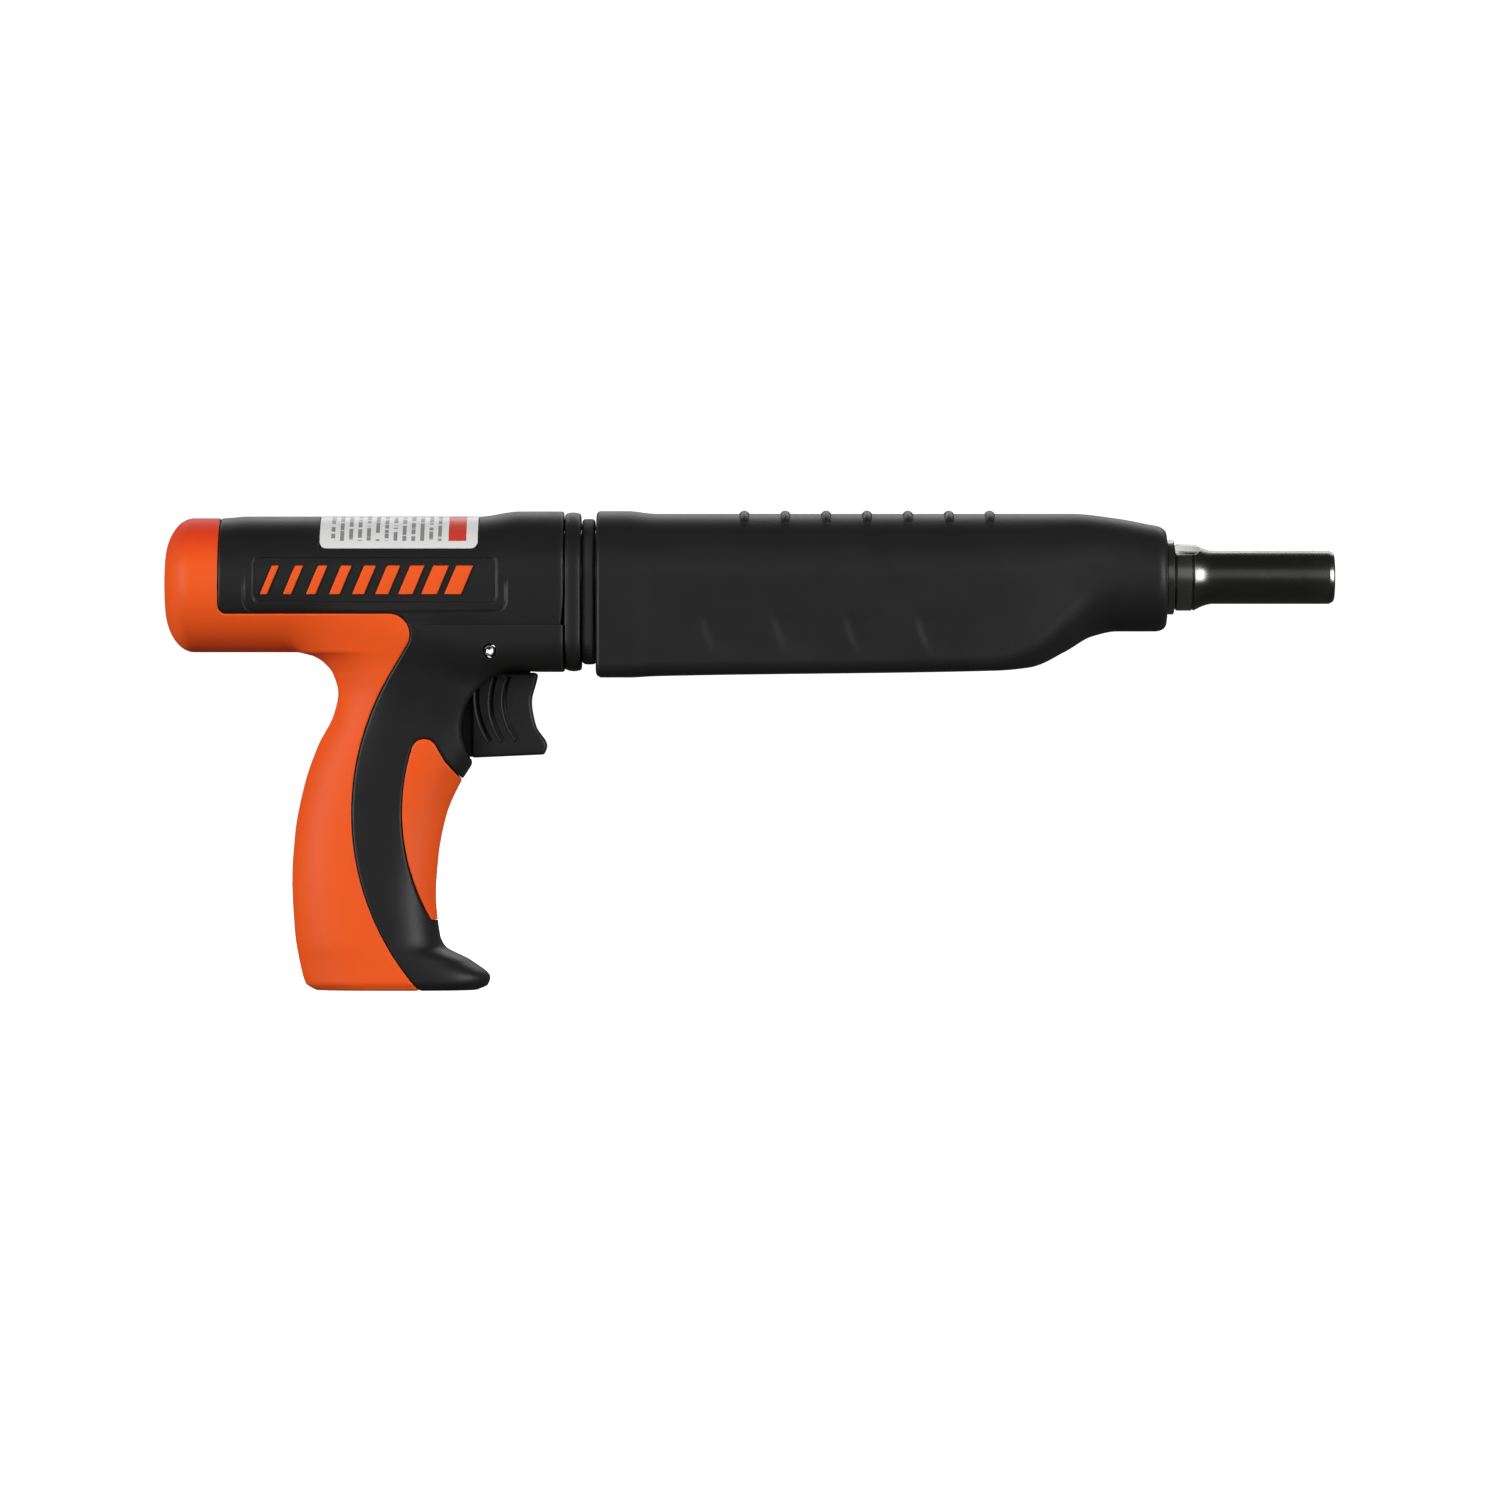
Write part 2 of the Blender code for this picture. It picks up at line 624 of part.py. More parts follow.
cavity_link = cross_bar("cut_cavity_link", 0, 0, 3 * mm, 0, 26 * mm, sides=12)
cavity_link.rotation_euler = (math.radians(90), 0, 0)
cavity_link.location = (66 * mm, 0, -51 * mm)
pin_hole = cross_bar("cut_trigger_pin", trigger_pin_x, trigger_pin_z, trigger_pin_radius + seat_gap,
                     -wide, wide)
sear_hole = cross_bar("cut_sear_pin", sear_x, sear_z, sear_pin_radius + seat_gap,
                      -sear_pin_reach - seat_gap, wide)
label_radius = housing_half_width
label_axis = label_top - label_radius
label_cut = turned("cut_label", [(label_start - seam_gap, label_radius - label_thickness - seat_gap),
                                 (label_end + seam_gap, label_radius - label_thickness - seat_gap),
                                 (label_end + seam_gap, label_radius + 3 * mm),
                                 (label_start - seam_gap, label_radius + 3 * mm)],
                   None, 16, 0, label_axis, 2 * math.degrees(label_angle) + 2)

rear_housing = housing_tube("rear_housing", material=black_nylon)
combine(rear_housing, outer_grip, operation="UNION")
combine(rear_housing, guard_cut, bumper_zone("cut_bumper_zone", seam_gap / 2),
        strap_zone("cut_strap_zone", seam_gap / 2))
combine(rear_housing, core_tube, core_grip, operation="UNION")
combine(rear_housing, bore_cut, slot_cut, pocket_cut, arm_pocket, spring_pocket, cavity, cavity_link,
        pin_hole, sear_hole, label_cut)

# ---- soft overmould: bumper with backstrap, and front strap ----
lining_tube = housing_tube("form_lining_tube", overmould, core_rear + overmould, 100 * mm)
lining_grip = grip_solid("form_lining_grip", overmould, -bore_height + overmould, -15 * mm)

rear_overmould = housing_tube("rear_overmould", end=90 * mm, material=orange_rubber)
combine(rear_overmould, outer_grip, operation="UNION")
combine(rear_overmould, bumper_zone("form_bumper_zone", -seam_gap / 2), operation="INTERSECT")
combine(rear_overmould, lining_tube, lining_grip, bore_cut)

front_strap = grip_solid("front_strap_overmould")
front_strap.hide_render = False
front_strap.display_type = "TEXTURED"
front_strap.data.materials.append(orange_rubber)
combine(front_strap, strap_zone("form_strap_zone", -seam_gap / 2), operation="INTERSECT")
combine(front_strap, lining_grip)

label_back = label_radius - label_thickness
turned("top_label", [(label_start, label_back), (label_end, label_back), (label_end, label_radius),
                     (label_start, label_radius)],
       label_film, 16, label_start, label_axis, 2 * math.degrees(label_angle))


# ---- collar: flange and buffer ring between the housing and the barrel grip ----
def collar(name, start, thickness, top, bottom, corner, material):
    """D-shaped ring on the receiver tube."""
    half_width = min(top, housing_half_width)
    outline = d_section(half_width, top, bottom, corner)
    ring = loft(name, [(start, outline), (start + thickness, outline)], material, (start, 0, 0))
    combine(ring, collar_hole)
    return ring


collar_hole = rod("cut_collar_hole", housing_length, rear_bushing_end + overcut, receiver_hole,
                  sides=round_sides)
collar("front_flange", flange_start, flange_thickness, flange_top, flange_bottom, shoulder_corner,
       black_nylon)
collar("buffer_ring", ring_start, ring_thickness, ring_top, ring_bottom, shoulder_corner - 2 * mm,
       black_rubber)

# ---- barrel grip sleeve and the pieces fixed in it ----
sleeve_rise = sleeve_start + 9.0 * mm         # the step behind which the sleeve is thicker
sleeve_step = sleeve_start + 17.7 * mm
sleeve_top = smooth_line([
    (sleeve_start, 19.5 * mm), (sleeve_rise, 19.5 * mm), (sleeve_step, 18.7 * mm),
    (sleeve_end - 27.8 * mm, 18.7 * mm), (sleeve_end - 14.4 * mm, 17.3 * mm),
    (sleeve_end - 2.1 * mm, 15.1 * mm), (sleeve_end, 14.9 * mm)])
sleeve_bottom = smooth_line([
    (sleeve_start, 29.3 * mm), (sleeve_rise, 29.3 * mm), (sleeve_step, 28.9 * mm),
    (sleeve_end - 49.8 * mm, 27.3 * mm), (sleeve_end - 39.8 * mm, 26.4 * mm),
    (sleeve_end - 29.8 * mm, 21.9 * mm), (sleeve_end - 21.8 * mm, 17.4 * mm),
    (sleeve_end - 14.4 * mm, 15.9 * mm), (sleeve_end, 15.9 * mm)])
sleeve_width = smooth_line([
    (sleeve_start, sleeve_half_width), (sleeve_rise, sleeve_half_width),
    (sleeve_step, sleeve_waist_half_width),
    (sleeve_end - 49.8 * mm, sleeve_waist_half_width), (sleeve_end - 14.4 * mm, sleeve_nose_half_width),
    (sleeve_end, sleeve_nose_half_width)])
sleeve_bottom_corner = smooth_line([
    (sleeve_start, sleeve_corner), (sleeve_end - 53.8 * mm, sleeve_corner),
    (sleeve_end - 17.8 * mm, sleeve_nose_half_width), (sleeve_end, sleeve_nose_half_width)])
sleeve_places = [sleeve_start, sleeve_start + 1.1 * mm, sleeve_rise]
sleeve_places += [(sleeve_rise + sleeve_step) / 2, sleeve_step]
sleeve_places += [sleeve_end - x * mm for x in (51.8, 43.8, 37.8, 31.8, 25.8, 20.8, 14.4, 3.3, 1.0, 0.0)]


def sleeve_section(x, inset):
    edge = 1.6 * mm * max(0, 1 - (x - sleeve_start) / (1.1 * mm))
    nose = 2.2 * mm * max(0, 1 - math.sqrt(max(0, 1 - max(0, (x - sleeve_end) / (3.3 * mm) + 1) ** 2)))
    drawn_in = inset or edge + nose
    return d_section(sleeve_width(x) - drawn_in, sleeve_top(x) - drawn_in, sleeve_bottom(x) - drawn_in,
                     max(sleeve_bottom_corner(x) - drawn_in, 1.2 * mm))


def sleeve_form(name, start, end, inset=0.0, material=None, at=(0, 0, 0)):
    """Form of the barrel grip between two places, drawn in by an inset."""
    inside = [x for x in sleeve_places if start + 0.5 * mm < x < end - 0.5 * mm]
    places = [start] + inside + [end]
    sections = [(x, sleeve_section(min(max(x, sleeve_start), sleeve_end), inset)) for x in places]
    return loft(name, sections, material, at)


def top_rib(name, x):
    """Low bar across the top of the sleeve, round along its edges."""
    height = sleeve_top(x) + rib_height
    rib_root = sleeve_wall + rib_height / 2
    rings = []
    for i in range(rib_steps + 1):
        angle = math.pi * (i / rib_steps - 0.5)
        y = rib_half_span * math.sin(angle)
        share = max(math.cos(angle), 0.3)
        crown = height - (sleeve_width(x) - math.sqrt(sleeve_width(x) ** 2 - y ** 2))
        swell = 2 * rib_height * share / rib_width
        ring = [(u, y, crown - rib_height + v * swell) for u, v in arc((x, 0), rib_width / 2, 0, 180, 4)]
        ring += [(x - rib_width / 2, y, crown - rib_root), (x + rib_width / 2, y, crown - rib_root)]
        rings.append(ring)
    return make(name, skin(rings), None, (0, 0, 0))


barrel_hole = rod("cut_barrel_hole", sleeve_start, sleeve_end, barrel_radius + seat_gap, sides=round_sides)
sleeve = sleeve_form("front_sleeve", sleeve_start, sleeve_end, 0.0, black_nylon, (sleeve_start, 0, 0))
combine(sleeve, *[top_rib(f"form_rib_{i + 1}", rib_first + i * rib_pitch) for i in range(rib_count)],
        operation="UNION")
combine(sleeve, sleeve_form("cut_sleeve_inside", sleeve_start - overcut, sleeve_end + overcut, sleeve_wall))


def sleeve_fill(name, start, end, hole, material):
    """Disc that fills the inside of the sleeve between two places, with a round hole."""
    disc = sleeve_form(name, start, end, sleeve_wall + seat_gap, material, (start, 0, 0))
    combine(disc, hole)
    return disc


front_bushing_start = sleeve_start + front_bushing_offset
spring_seat_start = receiver_end + spring_seat_gap
spring_seat_end = spring_seat_start + spring_seat_length
sleeve_fill("rear_bushing", rear_bushing_start, rear_bushing_end, collar_hole, acetal)
sleeve_fill("front_bushing", front_bushing_start, front_bushing_start + front_bushing_length, barrel_hole,
            acetal)
sleeve_fill("spring_seat", spring_seat_start, spring_seat_end, barrel_hole, blued_steel)
coil("barrel_spring", (spring_seat_end + seat_gap, 0, 0), (barrel_collar_x - seat_gap, 0, 0),
     barrel_radius + barrel_spring_clearance + barrel_spring_wire / 2, barrel_spring_wire, 7, spring_steel)

# ---- receiver tube ----
receiver = tube("receiver_tube", receiver_start, receiver_end, receiver_radius, receiver_bore, blued_steel,
                round_sides)
clip_start = rear_bushing_end + loading_stroke + end_gap
port_start = barrel_start + port_offset
port_cut = block("cut_port", port_start, port_start + port_length, -port_half_width, port_half_width,
                 0, receiver_radius + overcut)
clip_cut = tube("cut_clip_groove", clip_start - seat_gap, clip_start + clip_width + seat_gap,
                receiver_radius + overcut, receiver_radius - clip_seat_depth, None, round_sides)
pawl_slot = block("cut_pawl_slot", pawl_start - seat_gap, pawl_start + pawl_length + seat_gap,
                  -pawl_width / 2 - seat_gap, pawl_width / 2 + seat_gap, 0, receiver_radius + overcut)
nose_reach = nose_front * math.cos(sear_swing) + nose_height * math.sin(sear_swing)   # furthest forward
sear_slot_rear = sear_x + nose_rear - end_gap
sear_slot_front = sear_x + nose_reach + end_gap
sear_slot = block("cut_sear_slot", sear_slot_rear, sear_slot_front, -sear_width / 2 - seat_gap,
                  sear_width / 2 + seat_gap, -receiver_radius - overcut, 0)
combine(receiver, port_cut, clip_cut, pawl_slot, sear_slot)
tube("receiver_clip", clip_start, clip_start + clip_width, receiver_radius + clip_height,
     receiver_radius - clip_seat_depth + seat_gap, spring_steel, sweep=clip_sweep)
block("pawl", pawl_start, pawl_start + pawl_length, -pawl_width / 2, pawl_width / 2, pawl_depth,
      receiver_radius, bright_steel, (pawl_start, 0, 0))
pawl_spring_start = pawl_start + (pawl_length - pawl_spring_width) / 2
tube("pawl_spring", pawl_spring_start, pawl_spring_start + pawl_spring_width,
     receiver_radius + seat_gap + pawl_spring_thickness, receiver_radius + seat_gap, spring_steel,
     sweep=pawl_spring_sweep)

# ---- rear plug, its screw and the rubber pad behind it ----
tube("rear_plug", plug_start, plug_start + plug_length, receiver_bore - seat_gap, screw_radius + seat_gap,
     bright_steel)
tube("recoil_pad", housing_rear_wall + seat_gap, receiver_start - seat_gap, receiver_radius,
     screw_radius + seat_gap, black_rubber)
screw_head_x = screw_recess_depth - seat_gap - screw_head_height
screw_end = plug_start + plug_length - end_gap
screw = turned("rear_screw", [
    (screw_head_x, 0), (screw_head_x, screw_head_radius - screw_head_edge),
    (screw_head_x + screw_head_edge, screw_head_radius),
    (screw_head_x + screw_head_height, screw_head_radius),
    (screw_head_x + screw_head_height, screw_radius), (screw_end, screw_radius), (screw_end, 0)],
    bright_steel, 18, screw_head_x)
combine(screw, rod("cut_screw_socket", screw_head_x - overcut, screw_head_x + screw_socket_depth,
                   screw_socket_radius, sides=6))

# ---- breech block and firing pin ----
firing_pin_rear = sear_x - firing_pin_tail
firing_pin_shoulder = barrel_start - firing_pin_shoulder_back
pin_bore_end = firing_pin_shoulder + strike_stroke + pin_bore_gap
breech = turned("breech_block", [(block_start, 0), (block_start, receiver_bore - seat_gap),
                                 (block_end, receiver_bore - seat_gap), (block_end, 0)], blued_steel,
                inner_sides, block_start)
tip_cut = rod("cut_pin_tip", pin_bore_end - overcut, block_end + overcut,
              firing_pin_tip_radius + pin_bore_gap, sides=10, z0=-firing_pin_tip_offset)
sear_notch = block("cut_sear_notch", sear_slot_rear, sear_slot_front + press_stroke,
                   -sear_width / 2 - seat_gap, sear_width / 2 + seat_gap,
                   -receiver_radius, sear_z + nose_height + end_gap)
combine(breech, rod("cut_pin_bore", block_start - overcut, pin_bore_end, firing_pin_radius + pin_bore_gap),
        tip_cut, sear_notch)
collar_end = firing_pin_rear + firing_pin_collar
firing_pin = turned("firing_pin", [(firing_pin_rear, 0), (firing_pin_rear, firing_pin_collar_radius),
                                   (collar_end, firing_pin_collar_radius), (collar_end, firing_pin_radius),
                                   (firing_pin_shoulder, firing_pin_radius), (firing_pin_shoulder, 0)],
                    bright_steel, 16, firing_pin_rear)
combine(firing_pin, rod("form_pin_tip", firing_pin_shoulder - overcut, barrel_start - firing_pin_tip_back,
                        firing_pin_tip_radius, sides=8, z0=-firing_pin_tip_offset), operation="UNION")
spring_rear = plug_start + plug_length + seat_gap
coil("breech_spring", (spring_rear, 0, 0), (block_start - seat_gap, 0, 0),
     receiver_bore - breech_spring_clearance - breech_spring_wire / 2, breech_spring_wire, 8, spring_steel)
coil("firing_pin_spring", (spring_rear, 0, 0), (firing_pin_rear - seat_gap, 0, 0), firing_pin_spring_radius,
     firing_pin_spring_wire, 7, spring_steel)

# ---- barrel, its washer and the muzzle ----
bore_start = barrel_start + barrel_breech_length
buffer_start = pawl_start + press_stroke + pawl_length + pawl_to_buffer
bore_end = buffer_start + buffer_length + seat_gap
chamber_end = barrel_start + chamber_depth
barrel = turned("barrel_tube", [
    (barrel_start, receiver_bore - seat_gap), (barrel_start + barrel_guide_length, receiver_bore - seat_gap),
    (barrel_start + barrel_guide_length, barrel_radius), (barrel_collar_x, barrel_radius),
    (barrel_collar_x, barrel_collar_radius), (barrel_collar_x + barrel_collar_length, barrel_collar_radius),
    (barrel_collar_x + barrel_collar_length, barrel_radius), (muzzle_start - seat_gap, barrel_radius),
    (muzzle_start - seat_gap, barrel_spigot_radius), (muzzle_start + barrel_spigot, barrel_spigot_radius),
    (muzzle_start + barrel_spigot, rod_bore), (bore_end, rod_bore), (bore_end, barrel_bore),
    (bore_start, barrel_bore), (bore_start, gas_hole_radius), (chamber_end, gas_hole_radius),
    (chamber_end, chamber_radius), (barrel_start, chamber_radius)], blued_steel, 24, barrel_start)
slot_start = pawl_start - loading_stroke - 2 * end_gap
slot_end = pawl_start + pawl_length + press_stroke + 2 * end_gap
combine(barrel, block("cut_barrel_slot", slot_start, slot_end, -pawl_width / 2 - seat_gap,
                      pawl_width / 2 + seat_gap, pawl_depth - seat_gap, barrel_radius + overcut))
tube("piston_buffer", buffer_start, buffer_start + buffer_length, barrel_bore - seat_gap,
     rod_radius + seat_gap, black_rubber)
washer_start = muzzle_start - seat_gap - flange_washer_thickness
tube("barrel_washer", washer_start, washer_start + flange_washer_thickness, flange_washer_radius,
     barrel_radius + seat_gap, blued_steel, round_sides)
collar_front = muzzle_start + muzzle_collar_length
cone_front = collar_front + muzzle_cone_length
spigot_seat = muzzle_start + barrel_spigot + seat_gap
muzzle = turned("muzzle_bushing", [
    (muzzle_start, muzzle_collar_radius), (collar_front, muzzle_collar_radius), (cone_front, muzzle_radius),
    (tool_length - muzzle_chamfer, muzzle_radius), (tool_length - 0.5 * mm, muzzle_radius - 0.5 * mm),
    (tool_length, muzzle_radius - 1.3 * mm), (tool_length, muzzle_bore), (spigot_seat, muzzle_bore),
    (spigot_seat, barrel_spigot_radius + seat_gap), (muzzle_start, barrel_spigot_radius + seat_gap)],
    blued_steel, round_sides, muzzle_start)
for side in (1, -1):
    flat = block(f"cut_wrench_flat_{side}", muzzle_start - overcut, cone_front, -muzzle_collar_radius,
                 muzzle_collar_radius, side * wrench_flat, side * (muzzle_collar_radius + overcut))
    flat.rotation_euler = (wrench_turn, 0, 0)
    combine(muzzle, flat)

# ---- piston ----
head_start = bore_start + seat_gap
head_end = head_start + piston_head_length
rod_tip = barrel_start + rod_length
nose_end = buffer_start - piston_stroke - end_gap
groove = head_start + ring_groove_offset
turned("piston", [
    (head_start, 0), (head_start, piston_head_radius), (groove, piston_head_radius),
    (groove, ring_groove_radius),
    (groove + ring_groove_width, ring_groove_radius), (groove + ring_groove_width, piston_head_radius),
    (head_end, piston_head_radius), (head_end, piston_nose_radius), (nose_end, piston_nose_radius),
    (nose_end, rod_radius), (rod_tip, rod_radius), (rod_tip, 0)], bright_steel, inner_sides, head_start)
tube("piston_ring", groove + seat_gap, groove + ring_groove_width - seat_gap, piston_ring_radius,
     ring_groove_radius + seat_gap, spring_steel, sweep=piston_ring_sweep)

# ---- trigger with its pin and spring ----
front_line = smooth_line([
    (trigger_bottom, trigger_toe - 2.4 * mm), (trigger_bottom + 1.2 * mm, trigger_toe - 0.8 * mm),
    (trigger_bottom + 3.6 * mm, trigger_toe), (trigger_bottom + 9.5 * mm, trigger_waist + 1.2 * mm),
    (trigger_bottom + 16.4 * mm, trigger_waist), (trigger_top, trigger_front)])
face_levels = [trigger_bottom + z * mm for z in (0, 0.5, 1.2, 2.4, 3.6, 6, 9.5, 13, 16.4, 20.5)]
face_levels.append(trigger_top)
outline = [(trigger_rear, trigger_top), (trigger_rear, trigger_bottom)]
outline += [(front_line(z), z) for z in face_levels]
trigger = slab("trigger", outline, -trigger_width / 2, trigger_width / 2, black_nylon,
               (trigger_rear, 0, trigger_top))
edge = trigger.modifiers.new("edges", "BEVEL")
edge.width = trigger_edge
edge.segments = 2
edge.limit_method = "ANGLE"
edge.angle_limit = math.radians(50)
combine(trigger, block("form_stem", stem_rear, stem_front, -stem_width / 2, stem_width / 2,
                       trigger_top - 4 * mm, stem_top), operation="UNION")
tongue = block("form_tongue", tongue_rear, trigger_rear + trigger_edge + overcut, -tongue_width / 2,
               tongue_width / 2, trigger_bottom + seat_gap, trigger_top - seat_gap)
combine(trigger, tongue, operation="UNION")
travel_slot = arc((trigger_pin_x + trigger_stroke, trigger_pin_z), trigger_pin_radius + seat_gap, -90, 90, 8)
travel_slot += arc((trigger_pin_x, trigger_pin_z), trigger_pin_radius + seat_gap, 90, 270, 8)
combine(trigger, slab("cut_travel_slot", travel_slot, -stem_width, stem_width))

wall = arc((trigger_pin_x, trigger_pin_z), trigger_pin_radius, 20, 340, 20)
wall += arc((trigger_pin_x, trigger_pin_z), trigger_pin_radius - trigger_pin_wall, 340, 20, 20)
slab("trigger_pin", wall, -trigger_pin_half_length, trigger_pin_half_length, bright_steel,
     (trigger_pin_x, 0, trigger_pin_z))
coil("trigger_spring", (trigger_spring_seat + seat_gap, 0, trigger_spring_z),
     (tongue_rear - seat_gap, 0, trigger_spring_z), trigger_spring_radius, trigger_spring_wire, 6,
     spring_steel)

# ---- sear with its pin and spring ----
arm_lean = sear_swing + arm_lean_margin
tip_front = tip_x + tip_radius * math.cos(arm_lean)
waist_above_tip = tip_depth - tip_radius * math.sin(arm_lean) - arm_waist_depth
sear_outline = [(tail_end, tail_bottom), (tail_front, tail_bottom), (arm_rear_top, -bar_half)]
sear_outline += arc((tip_x, -tip_depth), tip_radius, 200, 360 + math.degrees(arm_lean), 6)
sear_outline += [(tip_front - waist_above_tip * math.tan(arm_lean), -arm_waist_depth)]
sear_outline += [(nose_front + 1.0 * mm, 0), (nose_front, bar_half), (nose_front, nose_height),
                 (nose_rear, nose_height - 0.8 * mm), (nose_rear, bar_half), (-bar_half, bar_half),
                 (tail_front, tail_top), (tail_end, tail_top)]
sear = slab("sear", [(sear_x + x, sear_z + z) for x, z in sear_outline], -sear_width / 2, sear_width / 2,
            blued_steel, (sear_x, 0, sear_z))
boss_half = sear_width / 2 - 0.1 * mm
combine(sear, cross_bar("form_sear_boss", sear_x, sear_z, sear_boss_radius, -boss_half, boss_half),
        operation="UNION")
combine(sear, cross_bar("cut_sear_hole", sear_x, sear_z, sear_pin_radius + seat_gap, -sear_width, sear_width))
cross_bar("sear_pin", sear_x, sear_z, sear_pin_radius, -sear_pin_reach, housing_half_width - 0.6 * mm,
          bright_steel)
sear_spring_x = sear_x + (tail_end + tail_front) / 2 - end_gap
coil("sear_spring", (sear_spring_x, 0, sear_z + tail_top + seat_gap),
     (sear_spring_x, 0, -receiver_radius - seat_gap), sear_spring_radius, sear_spring_wire, 5, spring_steel)
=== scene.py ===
import json
import math

import bmesh
import bpy
import numpy as np
from mathutils import Matrix, Vector


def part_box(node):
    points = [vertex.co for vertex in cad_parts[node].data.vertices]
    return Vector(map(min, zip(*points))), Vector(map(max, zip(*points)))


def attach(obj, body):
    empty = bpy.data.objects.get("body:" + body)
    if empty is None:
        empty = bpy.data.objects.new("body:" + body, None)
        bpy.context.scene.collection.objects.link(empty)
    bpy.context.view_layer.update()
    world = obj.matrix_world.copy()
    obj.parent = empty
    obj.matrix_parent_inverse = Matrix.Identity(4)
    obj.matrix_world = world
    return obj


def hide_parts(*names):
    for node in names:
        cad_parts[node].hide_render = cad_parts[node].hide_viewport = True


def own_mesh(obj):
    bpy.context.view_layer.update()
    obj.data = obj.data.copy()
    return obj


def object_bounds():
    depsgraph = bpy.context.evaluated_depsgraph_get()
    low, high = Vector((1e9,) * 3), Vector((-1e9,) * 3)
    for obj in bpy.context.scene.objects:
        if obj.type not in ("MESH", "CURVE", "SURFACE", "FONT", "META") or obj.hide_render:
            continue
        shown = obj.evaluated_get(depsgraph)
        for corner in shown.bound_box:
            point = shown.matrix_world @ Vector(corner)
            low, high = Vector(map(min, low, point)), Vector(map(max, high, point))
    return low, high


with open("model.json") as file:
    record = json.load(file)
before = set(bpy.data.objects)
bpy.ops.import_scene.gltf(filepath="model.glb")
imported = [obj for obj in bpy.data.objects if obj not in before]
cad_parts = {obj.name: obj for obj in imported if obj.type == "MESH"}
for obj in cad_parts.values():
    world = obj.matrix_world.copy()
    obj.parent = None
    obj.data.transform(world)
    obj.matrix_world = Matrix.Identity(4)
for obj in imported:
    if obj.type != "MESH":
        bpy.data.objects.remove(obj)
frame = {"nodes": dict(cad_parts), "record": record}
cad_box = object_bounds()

# ==================================================
# Camera, backdrop and studio lights
# The tool stands on the base of its grip, seen square on from its right side with a long lens, in front
# of a white sweep of paper that is lit on its own. Tall soft boxes far out to the left and right light
# the tool, with a dim wide one by the camera and another above and behind for its far side.
# ==================================================
scene = bpy.context.scene
low, high = (Vector(corner) for corner in cad_box)
middle = (low + high) / 2
shown_share = 0.7847                # of the frame's width that the tool fills
focal_length = 200
film_width = 36
distance = (high.x - low.x) / shown_share * focal_length / film_width

camera_data = bpy.data.cameras.new("camera")
camera_data.lens = focal_length
camera_data.sensor_width = film_width
camera_data.clip_end = 50
camera = bpy.data.objects.new("camera", camera_data)
camera.location = (middle.x, low.y - distance, middle.z)
camera.rotation_euler = (math.radians(90), 0, 0)
scene.collection.objects.link(camera)
scene.camera = camera


def soft_box(name, place, aim, width, height, power):
    """Rectangular light at a place, turned to face another."""
    light = bpy.data.lights.new(name, "AREA")
    light.shape = "RECTANGLE"
    light.size = width
    light.size_y = height
    light.energy = power
    lamp = bpy.data.objects.new(name, light)
    lamp.location = place
    lamp.rotation_euler = (Vector(aim) - Vector(place)).to_track_quat("-Z", "Y").to_euler()
    scene.collection.objects.link(lamp)


side_reach, side_front, side_rise = 1.8, -1.2, 0.3
side_size = (0.6, 1.1)
soft_box("left_box", (middle.x - side_reach, side_front, middle.z + side_rise), middle, *side_size, 44)
soft_box("right_box", (middle.x + side_reach, side_front, middle.z + side_rise), middle, *side_size, 46)
fill_height = 0.95
soft_box("front_fill", (middle.x, -2.9, fill_height), (middle.x, 0, fill_height), 3.0, 1.9, 8)
soft_box("back_box", (middle.x, 2.0, 1.6), middle, 2.4, 1.0, 24)

world = bpy.data.worlds.new("studio")
world.use_nodes = True
world.node_tree.nodes["Background"].inputs["Color"].default_value = (1, 1, 1, 1)
world.node_tree.nodes["Background"].inputs["Strength"].default_value = 0.08
scene.world = world
scene.view_settings.view_transform = "Standard"

paper_half_width = 6.0
paper_front = -6.0
paper_back = 3.0
bend_radius = 1.5
paper_height = 6.0
side_profile = [(paper_front, 0.0), (paper_back, 0.0)]
side_profile += [(paper_back + bend_radius * math.sin(a), bend_radius * (1 - math.cos(a)))
                 for a in np.linspace(0, math.pi / 2, 24)[1:]]
side_profile += [(paper_back + bend_radius, paper_height)]
paper_points = [(x, y, z) for y, z in side_profile for x in (-paper_half_width, paper_half_width)]
paper_faces = [(i, i + 1, i + 3, i + 2) for i in range(0, len(paper_points) - 2, 2)]
paper_mesh = bpy.data.meshes.new("paper")
paper_mesh.from_pydata(paper_points, [], paper_faces)
paper_mesh.shade_smooth()
paper = bpy.data.objects.new("paper", paper_mesh)
scene.collection.objects.link(paper)
paper_look = bpy.data.materials.new("pale_paper")
paper_look.use_nodes = True
paper_shader = paper_look.node_tree.nodes["Principled BSDF"]
paper_shader.inputs["Base Color"].default_value = (0.93, 0.93, 0.93, 1)
paper_shader.inputs["Roughness"].default_value = 0.9
paper_shader.inputs["Emission Color"].default_value = (1, 1, 1, 1)
paper_shader.inputs["Emission Strength"].default_value = 0.95
paper_mesh.materials.append(paper_look)
paper.visible_diffuse = False
paper.visible_glossy = False

